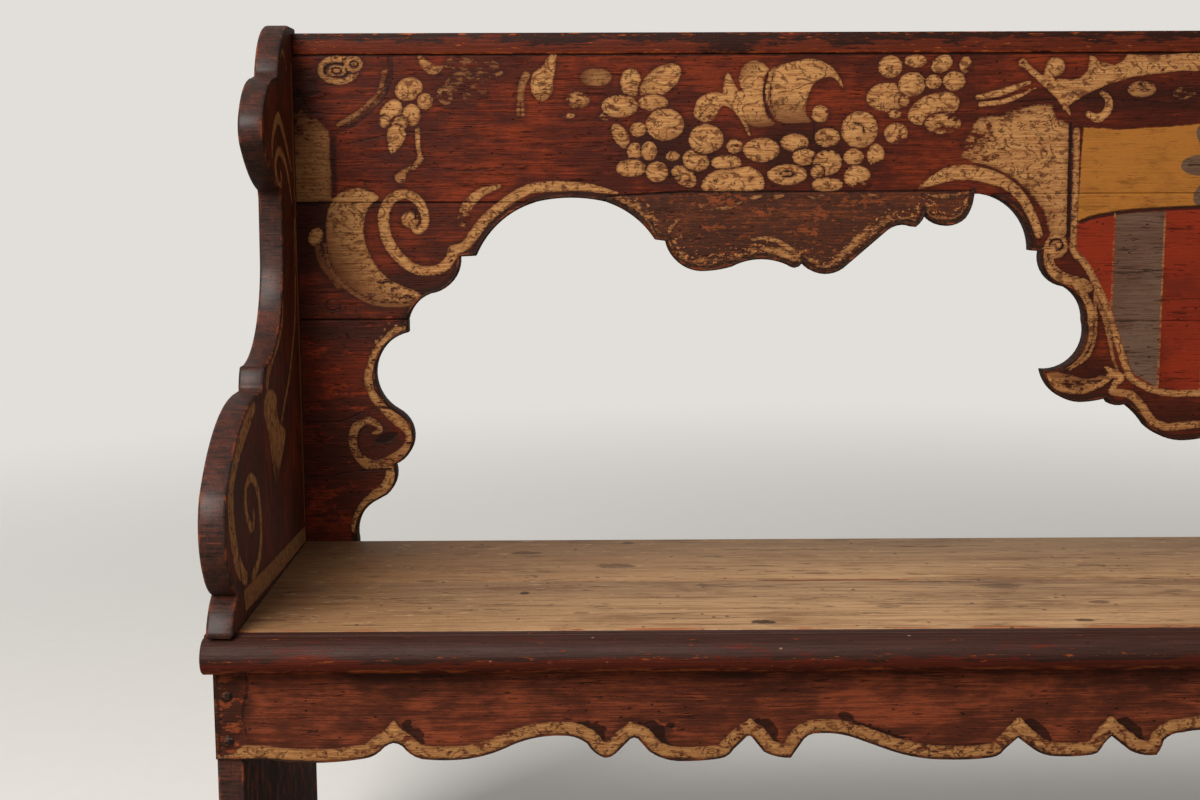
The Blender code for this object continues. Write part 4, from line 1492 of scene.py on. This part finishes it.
SHIELD = (
    Leaf(((996, 530), (1040, 527), (1100, 530), (1150, 534), (1192, 535), (1192, 432), (1148, 431),
          (1066, 427), (1018, 420), (993, 412)), layer=Layer.OCHRE, cornered=True),
    Leaf(((993, 410), (1018, 418), (1066, 425), (1148, 429), (1192, 430), (1192, 194), (1122, 194),
          (1087, 205), (1072, 214), (1053, 264), (1039, 304), (1021, 340), (1006, 362), (993, 376)),
         layer=Layer.RED, cornered=True),
    dark_line((998, 411, 6), (1018, 418, 6), (1066, 425, 6), (1148, 429, 6), (1200, 430, 6)),
    Leaf(((1042, 421), (1104, 425), (1104, 198), (1088, 207), (1072, 216), (1056, 258), (1042, 298)),
         layer=Layer.TAUPE, cornered=True),
    Leaf(((1161, 427), (1195, 428), (1195, 188), (1161, 188)), layer=Layer.TAUPE, cornered=True),
    *(Stroke(((across, 424, 2.4), (across, low, 2.4)), tone=0.15, cover=0.8)
      for across, low in ((1041, 302), (1105, 200), (1160, 195))),
    *rosette(1190, 482, petals=8), Oval(967, 380, 15, 15, halo=0),
    dark_line((958, 380, 2.4), (962, 388, 3), (972, 388, 3), (975, 379, 3), (968, 375, 2.4)),
    Stroke(((953, 374, 12), (957, 364, 13), (962, 351, 14), (979, 339, 14), (1000, 334, 13),
            (1010, 327, 12)), tone=0.12, shade=(0.1, -0.35)),
    dark_line((955, 369, 1.6), (966, 352, 1.8), (981, 343, 1.6), (1004, 338, 1.4)),
    Stroke(((994, 330, 8), (1006, 314, 11), (1013, 297, 12), (1013, 280, 11), (1012, 263, 11),
            (1004, 243, 11), (990, 230, 10), (972, 224, 9), (956, 221, 6)), tone=0.26, shade=(0.0, -0.3)),
    Stroke(((1019, 317, 3), (1021, 296, 3.5), (1022, 276, 4), (1020, 256, 4), (1014, 240, 4),
            (1003, 230, 4), (990, 222, 3)), tone=0.3),
    Stroke(((1018, 322, 3), (1031, 291, 5), (1040, 261, 5), (1046, 235, 4), (1052, 222, 3)), tone=0.32),
    Leaf(((957, 221), (985, 216), (1012, 209), (1038, 214), (1028, 197), (1004, 190), (981, 194),
          (964, 206)), tone=0.5, cover=0.66, soft=2),
    Stroke(((959, 216, 6), (966, 208, 9), (975, 200, 9), (988, 194, 7), (1003, 192, 3)), tone=0.1,
           cover=0.86),
    Stroke(((1006, 191, 3), (1022, 198, 7), (1036, 207, 9), (1047, 217, 6)), tone=0.16),
    Stroke(((1036, 225, 3), (1045, 218, 9), (1056, 211, 11), (1050, 203, 8), (1046, 194, 8))),
    Stroke(((1046, 192, 8), (1058, 191, 10), (1072, 187, 11), (1085, 174, 11), (1100, 154, 11),
            (1120, 146, 10), (1145, 148, 10), (1200, 152, 10)), tone=0.3),
    Stroke(((1075, 196, 3), (1086, 188, 4), (1100, 182, 4)), layer=Layer.GRIME),
)
STILE_SCROLL = (
    Stroke(((133, 279, 5), (118, 273, 8), (98, 250, 9), (89, 230, 10), (85, 215, 10), (90, 194, 10),
            (101, 179, 11), (108, 172, 12)), tone=0.1, cover=0.76),
    Stroke(((112, 168, 13), (123, 158, 14), (134, 148, 12), (137, 138, 10), (134, 125, 11), (118, 110, 13),
            (93, 100, 14), (76, 106, 13), (66, 122, 12), (64, 140, 12), (70, 153, 10), (83, 159, 9),
            (95, 154, 8), (99, 146, 6), (90, 142, 4)), tone=0.24, cover=0.72),
    dark_line((76, 112, 2), (70, 126, 2), (72, 143, 2), (82, 151, 2)),
    dark_line((94, 131, 4), (106, 136, 13), (120, 142, 6), cap=1.0),
    Stroke(((113, 93, 15), (115, 83, 22), (108, 71, 20), (93, 61, 16), (79, 51, 11), (69, 38, 10),
            (64, 24, 9), (62, 14, 6)), tone=0.06, cover=0.82),
    *(Oval(across, up, size, size, cover=0.8, halo=0)
      for across, up, size in ((103, 268, 2.2), (97, 262, 2.6), (108, 277, 2), (113, 284, 1.8),
                               (99, 256, 2), (92, 250, 1.6), (122, 282, 1.8), (88, 243, 1.4), (105, 262, 2),
                               (126, 287, 1.4))),
    dark_line((4, 157, 3), (50, 159, 2.6), (78, 171, 2), (101, 176, 2), (128, 172, 2.4)),
    dark_line((8, 86, 3), (40, 88, 2.4), (68, 93, 2.2), (112, 95, 3)),
    dark_ring(42, 309, 10, 8, 2), dark_ring(55, 306, 5, 6, 1.8),
)
PENDANT = (
    Stroke(((401, 446, 4), (418, 441, 9), (433, 433, 9), (449, 420, 8), (457, 413, 4)), cover=0.44),
    Stroke(((404, 443, 2.4), (423, 434, 2.6), (436, 425, 2.6), (448, 410, 2.6), (455, 397, 2)), tone=0.3,
           cover=0.8),
    Stroke(((486, 417, 3), (479, 412, 6), (474, 404, 4)), tone=0.4, cover=0.6),
    Stroke(((471, 390, 2), (478, 379, 3), (488, 368, 3), (500, 361, 2)), tone=0.35, cover=0.7),
    Stroke(((486, 374, 10), (510, 364, 12), (545, 363, 10)), tone=0.5, cover=0.34),
    Stroke(((549, 366, 7), (565, 371, 10), (585, 378, 7)), tone=0.42, cover=0.44),
    Stroke(((578, 390, 2), (595, 392, 5), (610, 388, 6), (623, 381, 6), (633, 374, 5), (640, 367, 2)),
           tone=0.08, cover=0.92),
    Stroke(((590, 379, 3), (603, 377, 9), (617, 373, 10), (630, 367, 8), (638, 363, 4)), tone=0.12,
           cover=0.72),
    dark_line((600, 383, 1.2), (616, 379, 1.6), (632, 370, 1.2)),
    Stroke(((648, 367, 2), (656, 363, 6), (664, 360, 3)), tone=0.15, cover=0.75),
    Stroke(((660, 356, 2), (672, 355, 2.6), (682, 359, 3)), tone=0.4, cover=0.7),
    Stroke(((678, 359, 4), (689, 368, 7), (699, 377, 7), (709, 387, 8), (719, 396, 9), (730, 405, 9),
            (740, 412, 9), (751, 419, 7), (762, 426, 3)), tone=0.12, cover=0.56),
    Stroke(((692, 366, 2.2), (712, 383, 2.2), (731, 399, 2.2), (748, 411, 2)), tone=0.35, cover=0.75),
    Stroke(((760, 415, 2), (775, 417, 2.6), (787, 414, 2)), tone=0.4, cover=0.8),
    Stroke(((800, 424, 2), (812, 417, 2.6), (828, 416, 2.6), (841, 420, 2.4), (853, 434, 2)), tone=0.5,
           cover=0.75),
    Stroke(((795, 436, 2), (803, 430, 2.6), (801, 420, 2)), tone=0.5, cover=0.7),
    *(Stroke(((start, 446, 3), ((start + end) / 2, 444, 6), (end, 446, 3)), cover=0.5, tone=0.05)
      for start, end in ((570, 590), (597, 618), (648, 668), (716, 740), (800, 842))),
    Stroke(((508, 434, 3), (524, 430, 4), (548, 431, 5), (565, 438, 3)), cover=0.5, tone=0.1),
    *plain_ovals(Layer.RUB, (540, 441, 30, 8), (666, 421, 10, 9), (720, 438, 26, 5), (588, 424, 12, 6),
                 (650, 399, 16, 5), (530, 405, 14, 5)),
)
END_SCROLLS = (
    Stroke(((300, 222, 14), (317, 217, 20), (346, 207, 24), (375, 195, 26), (403, 179, 26), (424, 161, 26),
            (430, 141, 27), (429, 120, 27), (423, 99, 26), (411, 76, 25), (392, 58, 22), (370, 46, 16)),
           tone=0.3),
    Stroke(((334, 39, 13), (302, 48, 14), (288, 66, 14), (284, 88, 14), (287, 106, 14), (295, 125, 14),
            (312, 141, 12), (331, 148, 11), (349, 145, 12), (359, 135, 14), (360, 124, 14), (355, 112, 13),
            (344, 99, 12), (331, 92, 11), (320, 98, 11), (321, 108, 9)), tone=0.3),
    Leaf(((384, 36), (200, 29), (8, 23), (6, 2), (200, 5), (376, 10)), tone=0.5, cornered=True,
         fade=(-0.3, 0.0)),
    Leaf(((248, 208), (234, 226), (200, 228), (173, 216), (171, 197), (155, 180), (124, 168), (130, 152),
          (160, 130), (188, 112), (213, 150), (225, 178)), tone=0.3, fade=(0.1, -0.6), shade=(0.2, -0.5)),
    Stroke(((115, 365, 8), (115, 330, 9), (120, 301, 10), (140, 284, 13), (176, 268, 15), (207, 254, 15),
            (224, 236, 14)), tone=0.35),
    Stroke(((20, 417, 7), (22, 381, 7), (28, 333, 8), (38, 293, 8), (60, 260, 8), (85, 229, 8),
            (107, 211, 8), (128, 195, 8), (146, 181, 6)), tone=0.4),
    Stroke(((11, 610, 6), (12, 300, 7), (10, 30, 7)), tone=0.62),
    Stroke(((30, 480, 6), (62, 513, 11), (84, 531, 13), (106, 542, 15), (132, 530, 13), (147, 512, 11),
            (149, 497, 7)), tone=0.45),
    Stroke(((33, 440, 6), (51, 469, 9), (72, 490, 11), (101, 502, 12), (120, 499, 12), (133, 486, 12),
            (125, 470, 12), (109, 460, 11), (97, 467, 9), (101, 477, 7)), tone=0.4),
    Stroke(((40, 600, 4), (62, 622, 6), (80, 615, 4)), tone=0.6, cover=0.7),
    dark_line((404, 96, 2.4), (396, 56, 3), (380, 10, 3)),
)
# painted shadow: a dark line along the joint just under the cap rail
CAP_SHADOW_LINE = dark_line((-5, 622, 4), (600, 622, 4), (1200, 622, 4))
CRACKS = tuple(Stroke(knots, layer=Layer.LINE) for knots in (
    ((-2, 575, 3), (12, 573, 7), (34, 577, 2)), ((4, 582, 2), (10, 572, 6), (14, 560, 2)),
    ((0, 541, 3), (8, 540, 8), (22, 545, 2)), ((8, 553, 2), (30, 551, 2.6), (52, 549, 1.4)),
    ((67, 512, 1.6), (112, 522, 2.4), (166, 528, 2), (221, 531, 1.2)),
    ((170, 483, 1.4), (217, 479, 2.6), (264, 483, 1.2)),
    ((241, 500, 1.2), (262, 498, 2.4), (284, 498, 1.2)), ((330, 512, 1.2), (372, 508, 2), (402, 510, 1.2)),
    ((86, 396, 1.2), (150, 392, 2), (196, 396, 1.2)),
    ((884, 560, 1.2), (930, 563, 2), (1010, 566, 2), (1090, 562, 1.6)),
    ((1095, 310, 1.4), (1140, 312, 2), (1190, 309, 1.4)),
    ((540, 430, 1.4), (600, 426, 2.2), (690, 431, 1.4)),
))
# dark grime and rubbed wear; the first three grime ovals, against the end board, are dirt and painted shade
# in that corner
SOIL = (
    *plain_ovals(Layer.GRIME, (0, 590, 40, 22), (-5, 560, 30, 26), (20, 400, 60, 50), (150, 330, 60, 26),
                 (70, 275, 74, 14), (104, 134, 22, 14), (1095, 566, 120, 22), (1002, 285, 26, 60),
                 (1010, 212, 44, 28), (1130, 160, 70, 18), (480, 500, 60, 45), (640, 500, 60, 40)),
    *plain_ovals(Layer.RUB, (33, 248, 30, 7), (48, 206, 32, 4.5), (60, 194, 30, 3), (74, 177, 15, 5),
                 (50, 222, 34, 3), (105, 294, 26, 2.5), (20, 293, 10, 3), (24, 50, 24, 20),
                 (30, 26, 30, 14)),
)
BACK_MARKS = (*SOIL, *CRACKS, CAP_SHADOW_LINE, *CORNER, *BUNCH, *FRUIT, *HORN, *CREST, *SPANDREL, *SHIELD,
              *LEFT_SCROLL, *STILE_SCROLL)


@dataclass
class Back:
    """The boards of the back: top board, stiles, pendants and shield."""

    layout: Layout
    pitch: float = 2.1 * MM
    other_pitch: float = 2.4 * MM
    arris: float = 3.4 * MM
    cap_arris: float = 2.0 * MM

    def build(self) -> None:
        """Models and paints every board."""
        red = WornPaint("back_paint", heraldic=True).material()
        upper = WornPaint("upper_stile_paint", ground=srgb(90, 32, 16), bright=srgb(118, 46, 21),
                          deep=srgb(50, 22, 14), grime=0.54).material()
        lower = WornPaint("lower_stile_paint", ground=srgb(84, 31, 17), bright=srgb(110, 39, 19),
                          deep=srgb(54, 27, 18), bare=srgb(160, 62, 30), grime=0.5, rub=0.85).material()
        dark = WornPaint("pendant_paint", ground=srgb(84, 43, 27), bright=srgb(122, 62, 33),
                         deep=srgb(58, 33, 24), bare=srgb(150, 76, 36), rub=1.0, grime=0.5, blotch=(6, 12),
                         flakes=0.7, arris=1.4).material()
        gilded = Ornament(BACK_MARKS)
        boards = [(node, red, gilded) for node in ("back_top_board", "shield_upper_board",
                                                   "shield_lower_board")]
        for side in ("left", "right"):
            boards += [(f"{side}_stile_upper_board", upper, gilded),
                       (f"{side}_stile_lower_board", lower, gilded),
                       (f"{side}_pendant_board", dark, Ornament(PENDANT))]
        for node, finish, ornament in boards:
            pitch = self.pitch if node == "back_top_board" else self.other_pitch
            Plank(node, FRONT, finish, pitch, self.arris, ornament, floor=self.layout.seat,
                  joints=self.layout.joints).build(self.layout.on_back)
        self.cap()

    def cap(self) -> None:
        """The rail along the top, with rounded edges."""
        low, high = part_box("cap_rail")
        shape = merged_copy("cap_rail")
        soften(shape, shape.edges[:], self.cap_arris, segments=3)
        finish = Moulding("cap_paint", low.z, high.z, high.z - 1 * MM, dark=srgb(50, 24, 16),
                          red=srgb(88, 32, 17), bright=srgb(122, 50, 24), rubbed=srgb(170, 84, 38),
                          wear=0.02, sink=0.3, worn=0.07, shade=0.0, sheen=0.1)
        show("cap_rail_painted", shape, "cap_rail", finish.material())


@dataclass
class Ends:
    """The two shaped end boards."""

    layout: Layout
    pitch: float = 3.0 * MM
    arris: float = 3.4 * MM

    def build(self) -> None:
        """Models and paints both ends."""
        finish = WornPaint("end_paint", grain=Grain.UP, ground=srgb(86, 36, 20), bright=srgb(112, 47, 24),
                           deep=srgb(50, 25, 16), edge=srgb(52, 33, 27), edge_red=srgb(80, 42, 31),
                           grime=0.6, rub=0.3, arris=2.8, arris_colour=srgb(150, 72, 38),
                           scratch=Grain.ALONG, gloss=0.3).material()
        for node, inward in (("left_end_board", 1), ("right_end_board", -1)):
            Plank(node, Vector((inward, 0, 0)), finish, self.pitch, self.arris, Ornament(END_SCROLLS),
                  floor=self.layout.seat, bare_rear=False).build(self.layout.on_end)


@dataclass
class Apron:
    """The scalloped board under the seat's front."""

    layout: Layout
    pitch: float = 2.6 * MM
    arris: float = 2.0 * MM
    band: float = 14.0           # width of the gilt band along the scallops, millimetres
    border: float = 1.0          # dark edge below it
    shadow: float = 13.0         # reach of the painted shadow beside a peak
    top_edge: float = 8.0        # what is this close to the apron's top isn't a scallop
    peaks: tuple[tuple[float, float], ...] = ((161, 48), (412, 46), (539, 49), (825, 49), (923, 49))

    def build(self) -> None:
        """Models and paints the apron."""
        low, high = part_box("front_apron")
        finish = WornPaint("apron_paint", ground=srgb(98, 45, 27), bright=srgb(134, 64, 38),
                           deep=srgb(50, 24, 15), grime=0.44, rub=0.3, arris=1.2).material()
        width = 2 * self.layout.half_inner / MM
        rim = Rim(self.band, self.border, (high.z - self.layout.seat) / MM - self.top_edge,
                  ends=(3, width - 3), tone=0.26, cover=0.78, shadow=self.shadow)
        marks = self.marks((low.z - self.layout.seat) / MM, width)
        Plank("front_apron", FRONT, finish, self.pitch, self.arris,
              Ornament(marks, rim)).build(self.layout.on_apron)

    def marks(self, floor: float, width: float) -> tuple[Mark, ...]:
        """Gilding on the peaks and at both ends, knots, and wear and cracks over the end boards.

        Args:
            floor: height of the lowest scallop, millimetres.
            width: distance between the end boards, millimetres.

        Returns:
            The marks.
        """
        marks: list[Mark] = []
        for start, way in ((0, 1), (width, -1)):
            knots = ((start + way * 8, floor + 9, 9), (start - way * 12, floor + 8, 6),
                     (start - way * 27, floor + 9, 4))
            marks.append(Stroke(knots, tone=0.3, cover=0.72))
        marks += plain_ovals(Layer.LINE, (443, floor + 36, 6, 5), (455, floor + 40, 5, 3),
                             (641, floor + 49, 9, 5, -20), (175, floor + 44, 6, 4, 30))
        marks += plain_ovals(Layer.RUB, (440, floor + 36, 26, 14))
        for across, up in self.peaks:
            for apex in (across, width - across):
                tip = ((apex - 13, floor + up - 14), (apex, floor + up), (apex + 12, floor + up - 14))
                marks.append(Leaf(tip, cover=0.86, cornered=True))
        for joint in (5, width - 5):
            marks.append(dark_line((joint, floor + 112, 3), (joint + 2, floor + 84, 4),
                                   (joint - 3, floor + 56, 3), (joint + 1, floor + 26, 2), cap=0.5))
        for middle in (-14, width + 14):
            marks += plain_ovals(Layer.RUB, (middle, floor + 58, 24, 56))
            marks += plain_ovals(Layer.GRIME, (middle, floor + 60, 22, 40))
        return tuple(marks)


@dataclass
class Seat:
    """The seat's two boards and the moulded strip on its front edge."""

    layout: Layout
    arris: float = 0.9 * MM
    nosing_arris: float = 2.0 * MM
    red_low: float = 6 * MM      # above the nosing's underside: where its red and its painted shade show most
    red_high: float = 27 * MM    # where the red and the painted shade begin
    crest: float = 20 * MM       # where hands and knees rub most
    stains: tuple[tuple[float, float, float, float, float], ...] = (
        (554, 390, 14, 8, 0.95), (900, 389, 13, 6, 0.9), (402, 141, 26, 12, 0.6), (291, 72, 20, 9, 0.6),
        (845, 246, 30, 12, 0.5), (419, 20, 9, 6, 0.7), (295, 266, 6, 7, 0.9), (938, 318, 12, 8, 0.6),
        (770, 225, 60, 3, 0.7), (640, 180, 18, 5, 0.5), (180, 210, 16, 5, 0.5), (700, 330, 14, 8, 0.45),
        (980, 150, 24, 8, 0.5), (520, 95, 22, 5, 0.5), (1040, 270, 18, 6, 0.5), (360, 350, 10, 5, 0.5),
    )                            # across, forward of the back, half length, half width, strength

    def build(self) -> None:
        """Models and dresses the seat."""
        self.boards()
        self.nosing()

    def boards(self) -> None:
        """The two bare boards."""
        stains = tuple((across * MM - self.layout.half_inner, self.layout.back - forward * MM, length * MM,
                        width * MM, strength) for across, forward, length, width, strength in self.stains)
        finish = SeatWood("seat_wood", self.layout.seat_front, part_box("seat_rear_board")[0].y,
                          self.layout.back, self.layout.half_inner, stains=stains).material()
        for node in ("seat_rear_board", "seat_front_board"):
            shape = merged_copy(node)
            soften(shape, shape.edges[:], self.arris, segments=2)
            show(node + "_bare", shape, node, finish)

    def nosing(self) -> None:
        """The moulded strip."""
        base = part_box("seat_nosing")[0].z
        shape = merged_copy("seat_nosing")
        joined = [edge for edge in shape.edges if len(edge.link_faces) == 2]
        soften(shape, [edge for edge in joined if edge.calc_face_angle() > MOULDED], self.nosing_arris,
               segments=3)
        finish = Moulding("nosing_paint", base + self.red_low, base + self.red_high, base + self.crest)
        show("seat_nosing_painted", shape, "seat_nosing", finish.material())


@dataclass
class Carcase:
    """What shows only from below or behind: rail, battens, dowels and nails."""

    nodes: dict[str, bpy.types.Object]
    arris: float = 1.2 * MM
    shortest: float = 8 * MM     # shorter edges stay sharp

    def build(self) -> None:
        """Dresses the hidden timber and the iron."""
        along = RawTimber("rail_wood", Grain.ALONG).material()
        deep = RawTimber("batten_wood", Grain.DEEP).material()
        upright = RawTimber("dowel_wood", Grain.UP).material()
        iron = OldIron("nail_iron").material()
        for node, piece in sorted(self.nodes.items()):
            if node == "rear_seat_rail" or node.endswith("_batten"):
                shape = merged_copy(node)
                sharp = [edge for edge in shape.edges if edge.calc_length() > self.shortest]
                soften(shape, sharp, self.arris, segments=2)
                show(node + "_sawn", shape, node, along if node == "rear_seat_rail" else deep)
            elif "_dowel_" in node or "_nail_" in node:
                piece.material_slots[0].material = upright if "_dowel_" in node else iron
                LOG.info("%s: dressed as it is", node)


@dataclass(frozen=True)
class Studio:
    """A pale floor, soft light and a camera where the picture was taken from."""

    camera: tuple[float, float, float] = (-0.820, -1.845, 0.945)
    yaw: float = 0.38            # degrees to the right of +Y
    pitch: float = 8.16          # degrees below the horizon
    roll: float = 0.21
    lens: float = 48.33          # millimetres
    sensor: float = 36.0         # width of the frame that the lens is for
    key_from: tuple[float, float, float] = (-2.6, -3.2, 3.3)
    key_size: float = 2.6
    key_power: float = 230.0
    key_colour: Colour = (1.0, 0.97, 0.93)
    ambient: float = 0.36
    ambient_colour: Colour = (1.0, 0.985, 0.965)
    backdrop: Colour = srgb(226, 223, 218)
    floor_colour: Colour = srgb(248, 246, 242)
    floor_shade: Colour = srgb(122, 116, 108)    # what the floor throws back on the bench
    floor_radius: float = 5.0
    floor_solid: float = 1.6     # the floor begins to fade this far from the middle

    def build(self, aim: Vector) -> None:
        """Places everything.

        Args:
            aim: the middle of the bench.
        """
        scene = bpy.context.scene
        scene.view_settings.view_transform = "Standard"
        self.place_camera(scene)
        self.place_key(aim)
        self.fill_world(scene)
        self.lay_floor()

    def place_camera(self, scene: bpy.types.Scene) -> None:
        """Makes the camera from its three turns.

        Args:
            scene: the scene that it serves.
        """
        yaw, pitch, roll = (math.radians(turn) for turn in (self.yaw, self.pitch, self.roll))
        ahead = Vector((math.sin(yaw) * math.cos(pitch), math.cos(yaw) * math.cos(pitch), -math.sin(pitch)))
        right = Vector((math.cos(yaw), -math.sin(yaw), 0))
        down = ahead.cross(right)
        across = right * math.cos(roll) + down * math.sin(roll)
        upward = right * math.sin(roll) - down * math.cos(roll)
        data = bpy.data.cameras.new("picture")
        data.sensor_width = self.sensor
        data.lens = self.lens
        camera = bpy.data.objects.new("picture", data)
        turned = Matrix((across, upward, -ahead)).transposed().to_4x4()
        camera.matrix_world = Matrix.Translation(self.camera) @ turned
        scene.collection.objects.link(camera)
        scene.camera = camera

    def place_key(self, aim: Vector) -> None:
        """Hangs one large soft lamp at the upper left.

        Args:
            aim: where it points.
        """
        data = bpy.data.lights.new("key", "AREA")
        data.size = self.key_size
        data.energy = self.key_power
        data.color = self.key_colour
        lamp = bpy.data.objects.new("key", data)
        lamp.location = self.key_from
        lamp.rotation_euler = (aim - Vector(self.key_from)).to_track_quat("-Z", "Y").to_euler()
        bpy.context.scene.collection.objects.link(lamp)

    def fill_world(self, scene: bpy.types.Scene) -> None:
        """Even daylight on the bench, and the pale backdrop where the camera looks past it.

        Args:
            scene: the scene to light.
        """
        world = bpy.data.worlds.new("daylight")
        world.use_nodes = True
        scene.world = world
        nodes = NodeTree(world.node_tree)
        daylight = world.node_tree.nodes["Background"]
        nodes.feed(daylight.inputs["Color"], self.ambient_colour)
        nodes.feed(daylight.inputs["Strength"], self.ambient)
        pale = nodes.add("ShaderNodeBackground", None, {"Color": self.backdrop})
        path = nodes.add("ShaderNodeLightPath").outputs
        seen = nodes.add("ShaderNodeMath", {"operation": "MAXIMUM"},
                         {0: path["Is Camera Ray"], 1: path["Is Transmission Ray"]})
        mix = nodes.add("ShaderNodeMixShader", None, {0: seen.outputs[0], 1: daylight.outputs[0],
                                                      2: pale.outputs[0]})
        nodes.feed(world.node_tree.nodes["World Output"].inputs["Surface"], mix.outputs[0])

    def lay_floor(self) -> None:
        """A round pale floor that fades into the backdrop."""
        shape = bmesh.new()
        bmesh.ops.create_circle(shape, cap_ends=True, radius=self.floor_radius, segments=96)
        mesh = bpy.data.meshes.new("floor")
        shape.to_mesh(mesh)
        shape.free()
        shading = Shading("floor", Grain.ALONG)
        out = shading.tree.nodes["Material Output"]
        far = shading.math("SQRT", shading.axis(0) * shading.axis(0) + shading.axis(1) * shading.axis(1))
        clear = shading.add("ShaderNodeBsdfTransparent")
        grain = shading.noise(40, detail=3)
        seen = Value(shading, shading.add("ShaderNodeLightPath").outputs["Is Camera Ray"])
        pale = shading.blend(grain * 0.2, self.floor_colour, self.backdrop)
        solid = shading.finish(shading.blend(seen, self.floor_shade, pale), 0.85, grain, 0.2)
        fade = far.step(self.floor_solid, self.floor_radius * 0.98)
        mix = shading.add("ShaderNodeMixShader", None,
                          {0: fade, 1: shading.shader.outputs[0], 2: clear.outputs[0]})
        shading.feed(out.inputs["Surface"], mix.outputs[0])
        mesh.materials.append(solid)
        floor = bpy.data.objects.new("floor", mesh)
        bpy.context.scene.collection.objects.link(floor)
        floor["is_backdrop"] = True


def main() -> None:
    """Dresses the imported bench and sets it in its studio."""
    logging.basicConfig(level=logging.INFO, format="%(name)s %(message)s")
    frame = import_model()
    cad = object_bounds()
    layout = Layout.from_frame()
    for assembly in (Back(layout), Ends(layout), Apron(layout), Seat(layout), Carcase(frame["nodes"])):
        LOG.info("building %s", type(assembly).__name__)
        assembly.build()
    Studio().build((cad[0] + cad[1]) / 2)


if __name__ == "__main__":
    main()
